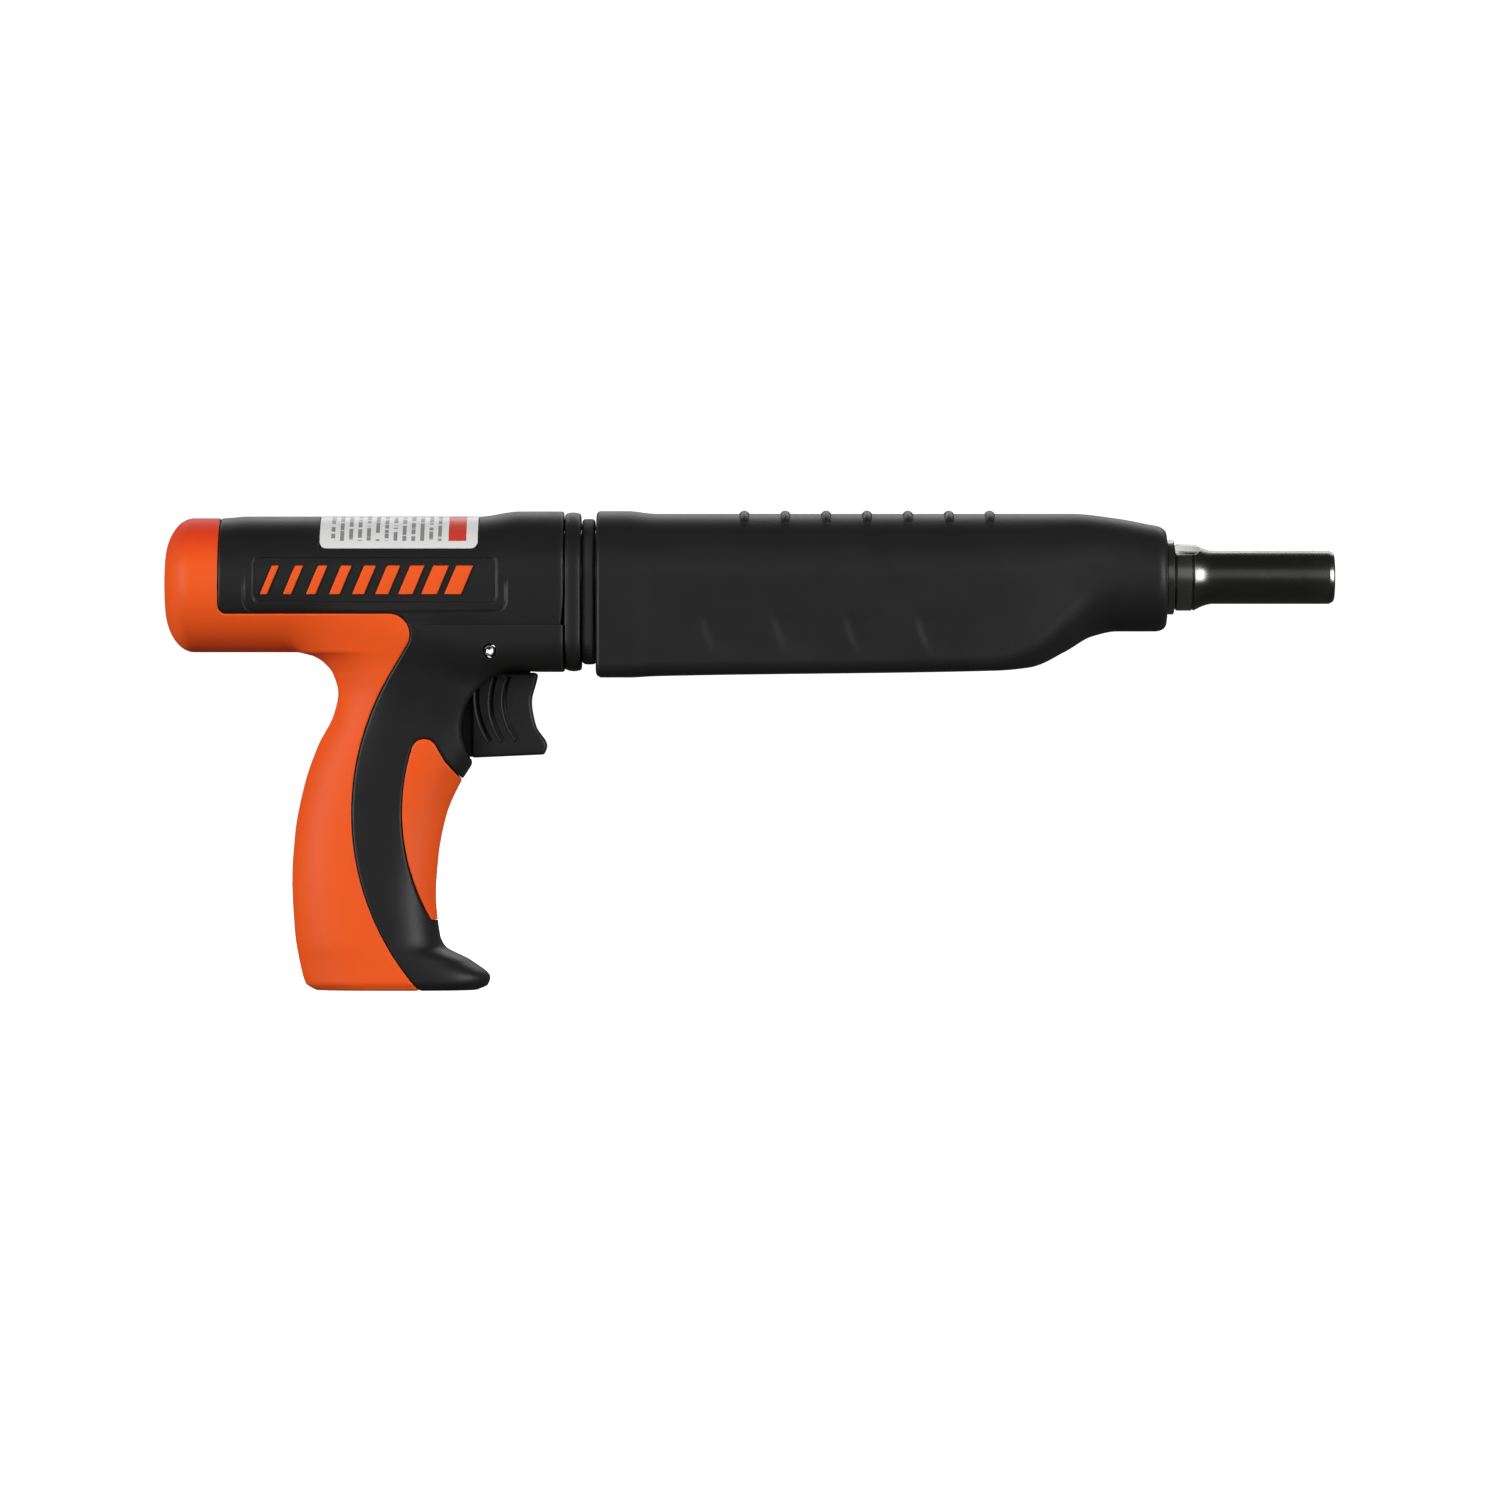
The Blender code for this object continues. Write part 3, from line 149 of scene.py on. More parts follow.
# ==================================================
# Rear housing
# The hard glass-filled nylon moulding: a tube that rounds under, with a pistol grip blended into it, a
# round hollow for the trigger finger and a shallow panel on each side. Everything else is held in it.
# ==================================================
class Wire:
    """A value inside a material: sums and products of wires become its maths nodes."""

    def __init__(self, look, socket):
        self.look = look
        self.socket = socket

    def maths(self, operation, *values):
        return self.look.node("ShaderNodeMath", {"operation": operation}, *values)

    def __add__(self, other):
        return self.maths("ADD", self, other)

    def __sub__(self, other):
        return self.maths("SUBTRACT", self, other)

    def __mul__(self, other):
        return self.maths("MULTIPLY", self, other)

    def __truediv__(self, other):
        return self.maths("DIVIDE", self, other)

    def __mod__(self, other):
        return self.maths("FLOORED_MODULO", self, other)

    def __abs__(self):
        return self.maths("ABSOLUTE", self)

    def __gt__(self, other):
        return self.maths("GREATER_THAN", self, other)

    def __lt__(self, other):
        return self.maths("LESS_THAN", self, other)

    def ramp(self, start, end):
        """Rises smoothly from 0 to 1 as the value goes from start to end."""
        return self.look.node("ShaderNodeMapRange", {"interpolation_type": "SMOOTHSTEP"}, self, start, end)

    __radd__ = __add__


class Look:
    """A material built of nodes."""

    def __init__(self, name, metallic=0.0):
        self.material = bpy.data.materials.new(name)
        self.material.use_nodes = True
        self.tree = self.material.node_tree
        self.shader = self.tree.nodes["Principled BSDF"]
        self.shader.inputs["Metallic"].default_value = metallic
        self.place = self.node("ShaderNodeTexCoord", out="Object")

    def feed(self, socket, value):
        if isinstance(value, Wire):
            self.tree.links.new(value.socket, socket)
        elif socket.type == "RGBA":
            socket.default_value = (*value, 1)
        else:
            socket.default_value = value

    def node(self, kind, settings=None, *values, out=0, **named):
        """Adds a node: its settings first, then values or wires for its inputs in order or by name."""
        made = self.tree.nodes.new(kind)
        for key, value in (settings or {}).items():
            setattr(made, key, value)
        for socket, value in zip(made.inputs, values):
            self.feed(socket, value)
        for key, value in named.items():
            self.feed(made.inputs[key.replace("_", " ")], value)
        return Wire(self, made.outputs[out])

    def axis(self, name):
        """One of the object's own coordinates, in metres: X, Y or Z."""
        return self.node("ShaderNodeSeparateXYZ", None, self.place, out=name)

    def mix(self, share, first, second):
        """Blend of two colours."""
        made = self.tree.nodes.new("ShaderNodeMix")
        made.data_type = "RGBA"
        for index, value in ((0, share), (6, first), (7, second)):
            self.feed(made.inputs[index], value)
        return Wire(self, made.outputs[2])

    def noise(self, size, detail=2.0, stretch=None):
        """Noise from 0 to 1 whose spots are about the given size across, in metres."""
        where = self.place
        if stretch:
            where = self.node("ShaderNodeVectorMath", {"operation": "MULTIPLY"}, where, stretch)
        return self.node("ShaderNodeTexNoise", None, Vector=where, Scale=1 / size, Detail=detail)

    def worn(self):
        """How much an outer edge stands out, from 0 to 1."""
        return self.node("ShaderNodeAttribute", {"attribute_name": "edge"}, out="Fac")

    def finish(self, colour, roughness, height, depth, shine=0.5):
        """Links the colour and roughness, and a bump of a real depth; shine is how strongly it mirrors."""
        bump = self.node("ShaderNodeBump", None, Strength=1.0, Distance=depth, Height=height)
        self.feed(self.shader.inputs["Base Color"], colour)
        self.feed(self.shader.inputs["Roughness"], roughness)
        self.feed(self.shader.inputs["Normal"], bump)
        self.shader.inputs["Specular IOR Level"].default_value = shine
        return self.material


mm = 0.001
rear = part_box("rear_overmould")[0].x
receiver_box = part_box("receiver_tube")
bore_z = (receiver_box[0].z + receiver_box[1].z) / 2
origin = np.array([rear, 0.0, bore_z])        # the bore axis at the rearmost point of the tool
bore_height = bore_z / mm
seam = 0.3                                    # sizes from here on are millimetres from that origin
through = 30.0                                # reach of a cutter to each side of the tool


def nylon_look(name, tint=1.0):
    """Black glass-filled nylon: fine spark-eroded grain, cloudy sheen, paler on its edges."""
    look = Look(name)
    cloud = look.noise(14 * mm, 4.0)
    speck = look.noise(0.9 * mm, 3.0)
    base = look.mix(cloud, tuple(tint * c for c in (0.0070, 0.0076, 0.0070)),
                    tuple(tint * c for c in (0.0112, 0.0120, 0.0110)))
    base = look.mix(look.worn() * 0.5, base, (0.045, 0.046, 0.044))
    roughness = 0.40 + cloud * 0.10 + speck * 0.06 - look.worn() * 0.10
    grain = look.noise(0.35 * mm, 2.0) + look.noise(0.12 * mm, 2.0) * 0.5
    return look.finish(base, roughness, grain, 0.02 * mm, 0.28)


def rubber_look(name):
    """Orange thermoplastic rubber: matt, with painted shade that turns it a darker red towards the top, and
    faint rubbed patches.
    """
    look = Look(name)
    cloud = look.noise(22 * mm, 5.0)
    height = (look.axis("Z") - bore_z) / mm
    # painted shade: the orange darkens to a deeper red towards the top of the tube, where less light falls
    painted_top_shade = height.ramp(2.0, 17.0)
    base = look.mix(painted_top_shade, (0.84, 0.092, 0.008), (0.74, 0.026, 0.008))
    base = look.mix(cloud * 0.25, base, (0.90, 0.13, 0.016))
    base = look.mix(look.worn() * 0.3, base, (0.92, 0.20, 0.05))
    roughness = 0.50 + cloud * 0.12
    grain = look.noise(0.5 * mm, 3.0) + look.noise(0.15 * mm, 2.0) * 0.6
    return look.finish(base, roughness, grain, 0.015 * mm, 0.22)


def steel_look(name, colour, roughness, brushed=(1, 1, 1), oxide=0.0):
    """Steel with fine tool marks, cloudy oxide or oil and bright worn edges."""
    look = Look(name, metallic=1.0)
    cloud = look.noise(5 * mm, 5.0)
    fine = look.noise(0.25 * mm, 3.0, brushed)
    base = look.mix(cloud, colour, tuple(c * 0.72 for c in colour))
    base = look.mix(cloud.ramp(0.5, 0.8) * oxide, base, tuple(c * 1.5 for c in colour))
    base = look.mix(look.worn() * 0.6, base, (0.42, 0.42, 0.41))
    rough = roughness + cloud * 0.10 + fine * 0.06
    return look.finish(base, rough, fine, 0.01 * mm)


def plain_look(name, colour, roughness, grain_size):
    """Moulded rubber or plastic of one colour, with a grain and a cloudy sheen."""
    look = Look(name)
    cloud = look.noise(6 * mm, 4.0)
    base = look.mix(cloud, colour, tuple(c * 1.5 for c in colour))
    base = look.mix(look.worn() * 0.4, base, tuple(min(1.0, c * 3) for c in colour))
    grain = look.noise(grain_size, 3.0)
    return look.finish(base, roughness + cloud * 0.1, grain, 0.02 * mm)


black_nylon = nylon_look("black_nylon")
sleeve_nylon = nylon_look("sleeve_nylon", 1.15)
orange_rubber = rubber_look("orange_rubber")
black_rubber = plain_look("black_rubber", (0.018, 0.018, 0.018), 0.62, 0.4 * mm)
acetal = plain_look("acetal", (0.055, 0.055, 0.057), 0.42, 0.6 * mm)
blued_steel = steel_look("blued_steel", (0.12, 0.124, 0.112), 0.20, (0.25, 1, 1), 0.35)
bright_steel = steel_look("bright_steel", (0.58, 0.58, 0.57), 0.22, (1, 0.3, 1))
spring_steel = steel_look("spring_steel", (0.36, 0.36, 0.38), 0.30, (0.3, 1, 1))
looks = {"black_nylon": black_nylon, "orange_rubber": orange_rubber, "black_rubber": black_rubber,
         "blued_steel": blued_steel, "bright_steel": bright_steel, "spring_steel": spring_steel,
         "acetal": acetal}


def curve(points):
    """Smooth line u -> v through the points, with no overshoot, for a number or an array."""
    u, v = np.array(points, float).T
    rise = np.diff(v) / np.diff(u)
    same = rise[:-1] * rise[1:] > 0
    slope = np.zeros(len(u))
    slope[1:-1][same] = 2 * rise[:-1][same] * rise[1:][same] / (rise[:-1] + rise[1:])[same]

    def at(x):
        x = np.clip(x, u[0], u[-1])
        i = np.clip(np.searchsorted(u, x, side="right") - 1, 0, len(u) - 2)
        span = u[i + 1] - u[i]
        t = (x - u[i]) / span
        ends = (3 - 2 * t) * t * t * (v[i + 1] - v[i]) + v[i]
        return ends + t * (1 - t) * span * ((1 - t) * slope[i] - t * slope[i + 1])

    return at


def step(value, start, end):
    """Smooth rise from 0 to 1 between two values."""
    t = np.clip((value - start) / (end - start), 0, 1)
    return t * t * (3 - 2 * t)


def arc(centre, radius, start, end, steps):
    """Points of an arc in a plane, from one angle to another, in degrees."""
    angles = np.radians(np.linspace(start, end, steps + 1))
    return [(centre[0] + radius * math.cos(a), centre[1] + radius * math.sin(a)) for a in angles]


def soft_max(a, b, width):
    """The larger of two distances, rounded over where they meet."""
    near = np.maximum(width - np.abs(a - b), 0)
    return np.maximum(a, b) + near * near / (4 * width)


def d_distance(y, z, half_width, top, bottom, corner):
    """Distance outside a D-shaped outline with a round top and rounded bottom corners."""
    crown = np.hypot(y, z - (top - half_width)) - half_width
    u = np.abs(y) - (half_width - corner)
    w = -z - (bottom - corner)
    box = np.hypot(np.maximum(u, 0), np.maximum(w, 0)) + np.minimum(np.maximum(u, w), 0) - corner
    return np.where(z > top - half_width, crown, box)


def rounded_box(u, w, half_u, half_w, radius):
    """Distance outside a rounded rectangle."""
    a = np.abs(u) - (half_u - radius)
    b = np.abs(w) - (half_w - radius)
    return np.hypot(np.maximum(a, 0), np.maximum(b, 0)) + np.minimum(np.maximum(a, b), 0) - radius


def line_distance(x, z, points, closed=False):
    """Distance in the side view from the nearest stretch of a line through points."""
    line = np.array(points + points[:1] if closed else points, float)
    best = np.full(len(x), np.inf)
    for (ax, az), (bx, bz) in zip(line, line[1:]):
        dx, dz = bx - ax, bz - az
        t = np.clip(((x - ax) * dx + (z - az) * dz) / (dx * dx + dz * dz), 0, 1)
        best = np.minimum(best, np.hypot(x - ax - t * dx, z - az - t * dz))
    return best


housing_length = 117.0
housing_half_width = 19.5
dome_depth = 8.3
dome_power = 1.8
dome_flat = 0.4                 # share of the rear end that stays flat
housing_top = curve([(0, 17.4), (16.3, 17.4), (24.3, 17.9), (92, 17.9), (104, 19.4), (117, 19.4)])
housing_bottom = curve([(0, 22.0), (40, 22.0), (97, 27.7), (117, 27.7)])
housing_corner = curve([(0, 19.5), (30, 19.5), (90, 9.0), (117, 9.0)])
grip_back = curve([
    (-bore_height, 43.5), (-119.4, 41.2), (-115, 39.8), (-104, 37.9), (-89, 37.1), (-75, 38.0), (-61, 40.7),
    (-49.4, 44.7), (-40, 49.4), (-34, 50.6), (-28.4, 49.1), (-24.9, 46.2), (-22.9, 42.7), (-22, 39.2),
    (-14, 36.0)])
grip_front = curve([
    (-bore_height, 92.0), (-119.8, 94.4), (-117.5, 95.3), (-112.4, 89.6), (-108.2, 82.0), (-105, 80.5),
    (-93, 79.3), (-82, 80.0), (-70, 82.3), (-61, 86.1), (-54.1, 90.3), (-40, 96.5), (-27.5, 100.5),
    (-14, 102.0)])
grip_width = curve([(-bore_height, 15.3), (-118.5, 16.5), (-100, 16.5), (-60, 15.0), (-45, 15.0), (-22, 17.0),
                    (-14, 17.0)])
grip_power = 2.6
grip_top = -14.0
blend_width = 6.0               # how softly the grip runs into the tube on the sides
guard = (103.5, -44.4)          # round hollow for the finger
guard_radius = 16.5

bumper_edge = 16.3              # where the soft bumper ends, above and below the bore
overmould_top = -10.8
bumper_corner = 2.3
lobe_x, lobe_radius = 66.2, 6.2
band = (133.7, -69.0)           # centre of the arcs that edge the hard band down the grip
band_rear_radius, band_front_radius = 78.5, 63.9
strap_top_z, strap_top_radius, strap_drop = -51.3, 3.9, 31.5
strap_shoulder = ((82.4, -54.0), (87.0, -59.2))     # its upper edge, in front of the round top
strap_front_z = -60.5


def bumper_outline(grow):
    """Front edge of the bumper and backstrap, then round behind the tool."""
    edge = bumper_edge + grow
    upper = overmould_top + grow
    corner = bumper_corner - grow
    points = [(-10, 40), (edge, 40)]
    points += arc((edge + corner, upper + corner), corner, 180, 270, 8)
    points += arc((lobe_x, overmould_top - lobe_radius), lobe_radius + grow, 90, -28, 20)
    points += arc(band, band_rear_radius - grow, 148, 222, 60)
    return points + [(74, -bore_height - 10), (-10, -bore_height - 10)]


def strap_outline(grow):
    """Edge of the front strap, then round in front of the tool."""
    drop = strap_drop + grow
    radius = band_front_radius + grow
    inner = band_front_radius - strap_top_radius
    turn = 180 - math.degrees(math.asin((strap_top_z - band[1]) / inner))
    crown = (band[0] + inner * math.cos(math.radians(turn)), strap_top_z)
    points = arc(band, radius, 180 + math.degrees(math.asin(drop / radius)), turn, 40)[:-1]
    points += arc(crown, strap_top_radius + grow, turn, 30, 16)
    points += [(x + grow, z + grow) for x, z in strap_shoulder]
    return points + [(110, strap_front_z + grow), (110, band[1] - drop)]


def housing_form(x, y, z):
    """Distance outside the smooth outer form of the housing, overmould and all."""
    depth = np.clip(1 - x / dome_depth, 0, 1)
    share = dome_flat + (1 - dome_flat) * np.maximum(1 - depth ** 2, 0) ** (1 / dome_power)
    top, bottom = housing_top(x), housing_bottom(x)
    centre = (top - bottom) / 2
    tube = share * d_distance(y / share, centre + (z - centre) / share, housing_half_width, top, bottom,
                              housing_corner(x))
    tube = soft_max(tube, x - housing_length, 0.8)
    tube = np.maximum(tube, -x)
    back, front = grip_back(z), grip_front(z)
    half, width = (front - back) / 2, grip_width(z)
    a = np.abs(x - (front + back) / 2) / half
    b = np.abs(y) / width
    r = np.maximum((a ** grip_power + b ** grip_power) ** (1 / grip_power), 0.05)
    steep = np.hypot((a / r) ** (grip_power - 1) / half, (b / r) ** (grip_power - 1) / width)
    grip = (r - 1) / np.maximum(steep, 1e-4)
    grip = soft_max(grip, -bore_height - z, 0.8)
    grip = np.maximum(grip, z - grip_top)
    blend = 0.01 + blend_width * step(np.abs(y), 3, 12)
    whole = -soft_max(-tube, -grip, blend)
    hollow = guard_radius - np.hypot(x - guard[0], z - guard[1])
    return soft_max(whole, hollow, 1.4)


panel_x, panel_z = (26.4, 97.8), (-7.7, 5.7)
panel_depth = 0.55
panel_corner = 1.8
frame_x, frame_z = (23.8, 100.4), (-10.4, 8.0)      # groove round the panel, faint above it
frame_corner = 3.6
crease_z = -14.1                # line between the tube and the flat-sided block below it
frame_depth, crease_depth, label_recess = 0.28, 0.75, 0.33
seam_round = 0.75               # of the edges along the shut-off lines
label_x, label_angle, label_radius = (45.9, 92.0), 60.0, 19.5
label_axis = 17.9 - label_radius


def panel_distance(x, z):
    half_x, half_z = (panel_x[1] - panel_x[0]) / 2, (panel_z[1] - panel_z[0]) / 2
    return rounded_box(x - sum(panel_x) / 2, z - sum(panel_z) / 2, half_x, half_z, panel_corner)


def groove_distance(x, z):
    half_x, half_z = (frame_x[1] - frame_x[0]) / 2, (frame_z[1] - frame_z[0]) / 2
    return np.abs(rounded_box(x - sum(frame_x) / 2, z - sum(frame_z) / 2, half_x, half_z, frame_corner))


def label_distance(x, y, z):
    """Distance outside the label's patch, measured over the round top."""
    round_it = np.degrees(np.arctan2(np.abs(y), z - label_axis)) - label_angle
    along = np.abs(x - sum(label_x) / 2) - (label_x[1] - label_x[0]) / 2
    return np.maximum(along, math.radians(1) * label_radius * round_it)


def housing_detail(x, y, z):
    """How far the moulded detail lies under the smooth outer form."""
    side = step(np.abs(y), 8, 11)
    sunk = panel_depth * (1 - step(panel_distance(x, z), -0.5, 0.1)) * side
    sunk += frame_depth * (1 - step(groove_distance(x, z), 0.1, 0.55)) * side * step(-z, -2, 4)
    ramp = np.clip((-4 - z) / (-4 - crease_z), 0, 1) ** 2 * step(z, crease_z - 0.25, crease_z + 0.25)
    sunk += crease_depth * ramp * step(x, 70, 82) * side
    sunk += label_recess * (1 - step(label_distance(x, y, z), 0.15, 0.45))
    seam_gap = np.minimum(line_distance(x, z, bumper_outline(0)), line_distance(x, z, strap_outline(0)))
    round_off = np.clip(seam_round - seam_gap, 0, seam_round)
    return sunk + seam_round - np.sqrt(seam_round ** 2 - round_off ** 2)


def close_to_detail(x, y, z):
    near = np.minimum(line_distance(x, z, bumper_outline(0)), line_distance(x, z, strap_outline(0)))
    side = np.where(np.abs(y) > 9, 0, 9)
    near = np.minimum(near, np.abs(panel_distance(x, z)) + side)
    near = np.minimum(near, groove_distance(x, z) + side + np.where(z > 2, 9, 0))
    near = np.minimum(near, np.abs(z - crease_z) + side + np.where(x < 70, 9, 0))
    near = np.minimum(near, np.abs(label_distance(x, y, z)))
    rim = np.abs(np.hypot(x - guard[0], z - guard[1]) - guard_radius)
    return np.minimum(near, rim + np.where(z < -60, 9, 0)) < 1.1


def points_of(mesh):
    flat = np.empty(len(mesh.vertices) * 3, np.float32)
    mesh.vertices.foreach_get("co", flat)
    return flat.reshape(-1, 3).astype(float)


def settle(mesh, form, detail=None, sunk=0.0, rounds=6):
    """Moves every point of a mesh in millimetres on to the surface of a form."""
    points = points_of(mesh)
    tiny = 0.02
    for _ in range(rounds):
        x, y, z = points.T
        depth = form(x, y, z) + sunk
        if detail:
            depth += detail(x, y, z)
        slope = np.stack([form(x + tiny, y, z) - form(x - tiny, y, z),
                          form(x, y + tiny, z) - form(x, y - tiny, z),
                          form(x, y, z + tiny) - form(x, y, z - tiny)], 1) / (2 * tiny)
        size = np.maximum((slope ** 2).sum(1), 0.3)
        move = -slope * (depth / size)[:, None]
        reach = np.linalg.norm(move, axis=1)
        points += move * np.minimum(1, 1.2 / np.maximum(reach, 1e-9))[:, None]
    mesh.vertices.foreach_set("co", points.astype(np.float32).ravel())
    mesh.update()


def object_of(name, mesh):
    made = bpy.data.objects.new(name, mesh)
    scene.collection.objects.link(made)
    return made


def mesh_of(name, points, faces):
    mesh = bpy.data.meshes.new(name)
    mesh.from_pydata([tuple(p) for p in points], [], faces)
    return mesh


def shell(name, rings, closed=False):
    """Closed body through rings of points that have equal counts, capped unless it closes on itself."""
    count = len(rings[0])
    points = [p for ring in rings for p in ring]
    faces = []
    for k in range(len(rings) if closed else len(rings) - 1):
        a, b = k * count, (k + 1) % len(rings) * count
        faces += [(a + (i + 1) % count, a + i, b + i, b + (i + 1) % count) for i in range(count)]
    if not closed:
        faces.append(tuple(range(count)))
        faces.append(tuple(reversed(range(len(points) - count, len(points)))))
    mesh = mesh_of(name, points, faces)
    bm = bmesh.new()
    bm.from_mesh(mesh)
    bmesh.ops.recalc_face_normals(bm, faces=bm.faces[:])
    bm.to_mesh(mesh)
    bm.free()
    return object_of(name, mesh)


def applied(piece):
    """Gives an object the mesh that its modifiers make, and drops them."""
    bpy.context.view_layer.update()
    mesh = bpy.data.meshes.new_from_object(piece.evaluated_get(bpy.context.evaluated_depsgraph_get()))
    piece.modifiers.clear()
    piece.data = mesh
    return piece


def carve(piece, *cutters, operation="DIFFERENCE", keep=False):
    """Boolean of a body with others, which are removed unless they are kept."""
    for cutter in cutters:
        cut = piece.modifiers.new("carve", "BOOLEAN")
        cut.operation = operation
        cut.solver = "MANIFOLD"
        cut.object = cutter
    applied(piece)
    if not keep:
        for cutter in cutters:
            bpy.data.objects.remove(cutter)
    return piece


def copy_of(piece, name):
    return object_of(name, piece.data.copy())


def slab(name, outline, y0, y1):
    """Outline in the side view, given thickness across the tool."""
    return shell(name, [[(x, y, z) for x, z in outline] for y in (y0, y1)])


def rod(name, x0, x1, radius, sides):
    """Round bar on the bore axis."""
    ring = arc((0, 0), radius, 0, 360 - 360 / sides, sides - 1)
    return shell(name, [[(x, y, z) for y, z in ring] for x in (x0, x1)])


def pin(name, x, z, radius, y0, y1, sides=48):
    """Round bar across the tool."""
    return slab(name, arc((x, z), radius, 0, 360 - 360 / sides, sides - 1), y0, y1)


def block(name, x0, x1, y0, y1, z0, z1):
    return slab(name, [(x0, z0), (x1, z0), (x1, z1), (x0, z1)], y0, y1)


def formed(name, form, starts, voxel, detail=None, refine=None, sunk=0.0):
    """Body whose surface is a form's: the starting bodies fused into an even net, then settled on it."""
    body = starts[0]
    for other in starts[1:]:
        carve(body, other, operation="UNION")
    remesh = body.modifiers.new("net", "REMESH")
    remesh.mode = "VOXEL"
    remesh.voxel_size = voxel
    applied(body)
    body.name = name
    settle(body.data, form, None, sunk)
    if refine:
        bm = bmesh.new()
        bm.from_mesh(body.data)
        centres = np.array([f.calc_center_median() for f in bm.faces])
        chosen = np.nonzero(refine(*centres.T))[0]
        bm.faces.ensure_lookup_table()
        edges = {e for i in chosen for e in bm.faces[i].edges}
        bmesh.ops.subdivide_edges(bm, edges=list(edges), cuts=2, use_grid_fill=True)
        bmesh.ops.triangulate(bm, faces=[f for f in bm.faces if len(f.verts) > 4])
        bm.to_mesh(body.data)
        bm.free()
    settle(body.data, form, detail, sunk)
    return body


def d_outline(half_width, top, bottom, corner, steps):
    """D-shaped outline with a round top and rounded bottom corners; bottom is measured down."""
    upper = half_width - 0.02
    lower = min(corner, upper, top + bottom - upper - 0.02)
    points = arc((half_width - upper, top - upper), upper, 0, 90, steps)
    points += arc((upper - half_width, top - upper), upper, 90, 180, steps)
    sides = np.linspace(top - upper, lower - bottom, steps)[1:-1]
    points += [(-half_width, z) for z in sides]
    points += arc((lower - half_width, lower - bottom), lower, 180, 270, steps // 2)
    under = np.linspace(lower - half_width, half_width - lower, steps)[1:-1]
    points += [(y, -bottom) for y in under]
    points += arc((half_width - lower, lower - bottom), lower, 270, 360, steps // 2)
    return points + [(half_width, z) for z in sides[::-1]]


def housing_starts():
    """Rough tube and grip, close to the housing's form."""
    rings = []
    for x in (0.3, 2, 5, 8.3, 24, 40, 60, 80, 92, 104, housing_length):
        depth = max(1 - x / dome_depth, 0)
        share = dome_flat + (1 - dome_flat) * (1 - depth ** 2) ** (1 / dome_power)
        top, bottom = float(housing_top(x)), float(housing_bottom(x))
        centre = (top - bottom) / 2
        outline = d_outline(housing_half_width, top, bottom, float(housing_corner(x)), 12)
        rings.append([(x, y * share, centre + (z - centre) * share) for y, z in outline])
    tube = shell("tube", rings)
    rings = []
    for z in np.append(np.arange(-bore_height, grip_top, 3.0), grip_top):
        half = float(grip_front(z) - grip_back(z)) / 2
        centre = float(grip_front(z) + grip_back(z)) / 2
        ring = []
        for angle in np.radians(np.arange(0, 360, 7.5)):
            c, s = math.cos(angle), math.sin(angle)
            ring.append((centre + half * math.copysign(abs(c) ** (2 / grip_power), c),
                         float(grip_width(z)) * math.copysign(abs(s) ** (2 / grip_power), s), z))
        rings.append(ring)
    grip = shell("grip", rings)
    carve(grip, pin("guard", *guard, guard_radius, -through, through, 96))
    return [tube, grip]


def dress(piece, look, body, slot, *nodes, sharp=32):
    """Finishes a piece made in millimetres: brings it to its place, marks its edges, gives it its look, ties
    it to its body and hides the solid model's pieces it stands for.
    """
    mesh = piece.data
    points = points_of(mesh)
    ends = np.empty(len(mesh.edges) * 2, np.int32)
    mesh.edges.foreach_get("vertices", ends)
    ends = ends.reshape(-1, 2)
    around = np.zeros_like(points)
    count = np.zeros(len(points))
    reach = np.zeros(len(points))
    length = np.linalg.norm(points[ends[:, 0]] - points[ends[:, 1]], axis=1)
    for a, b in ((0, 1), (1, 0)):
        np.add.at(around, ends[:, a], points[ends[:, b]])
        np.add.at(count, ends[:, a], 1)
        np.add.at(reach, ends[:, a], length)
    normals = np.empty(len(points) * 3, np.float32)
    mesh.vertices.foreach_get("normal", normals)
    lift = ((points - around / np.maximum(count, 1)[:, None]) * normals.reshape(-1, 3)).sum(1)
    edge = np.clip(lift * count / np.maximum(reach, 1e-6) * 2.2 - 0.15, 0, 1)
    mesh.attributes.new("edge", "FLOAT", "POINT").data.foreach_set("value", edge.astype(np.float32))
    mesh.vertices.foreach_set("co", (points * mm + origin).astype(np.float32).ravel())
    mesh.materials.clear()
    mesh.materials.append(look)
    mesh.shade_smooth()
    mesh.set_sharp_from_angle(angle=math.radians(sharp))
    mesh.update()
    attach(piece, body)
    if nodes:
        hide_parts(*nodes)


overmould = 2.0
net, coarse_net = 0.8, 1.6
outer = formed("outer", housing_form, housing_starts(), net, housing_detail, close_to_detail)
core = formed("core", housing_form, housing_starts(), coarse_net, sunk=overmould + seam)

pin_place, pin_radius, pin_half_length = (95.5, -21.7), 1.6, 18.4
sear_place, sear_pin_radius = (76.0, -18.5), 1.5
screw_recess_radius, screw_recess_depth = 4.4, 6.2
slot_x, slot_half, slot_z = (79.9, 112.0), 6.8, (-53.3, -27.8)
receiver_radius = 14.0

rear_housing = copy_of(outer, "rear_housing_shell")
carve(rear_housing, slab("zone", bumper_outline(seam / 2), -through, through),
      slab("zone", strap_outline(seam / 2), -through, through))
carve(rear_housing, core, operation="UNION")
carve(rear_housing, rod("recess", -2, screw_recess_depth, screw_recess_radius, sides=96),
      rod("bore", 60, housing_length + 5, receiver_radius + seam, sides=128),
      block("slot", *slot_x, -slot_half, slot_half, *slot_z),
      pin("pin_hole", *pin_place, pin_radius + 0.45, -through, through),
      pin("sear_hole", *sear_place, sear_pin_radius + 0.35, 8, through))
dress(rear_housing, black_nylon, "handle", "black_nylon", "rear_housing")

# ==================================================
# Soft overmould
# Orange thermoplastic rubber moulded on to the hard housing in two pieces: the bumper with the backstrap,
# and the strap under the fingers. A fine shut-off line runs round each.
# ==================================================
lining = formed("lining", housing_form, housing_starts(), coarse_net, sunk=overmould)

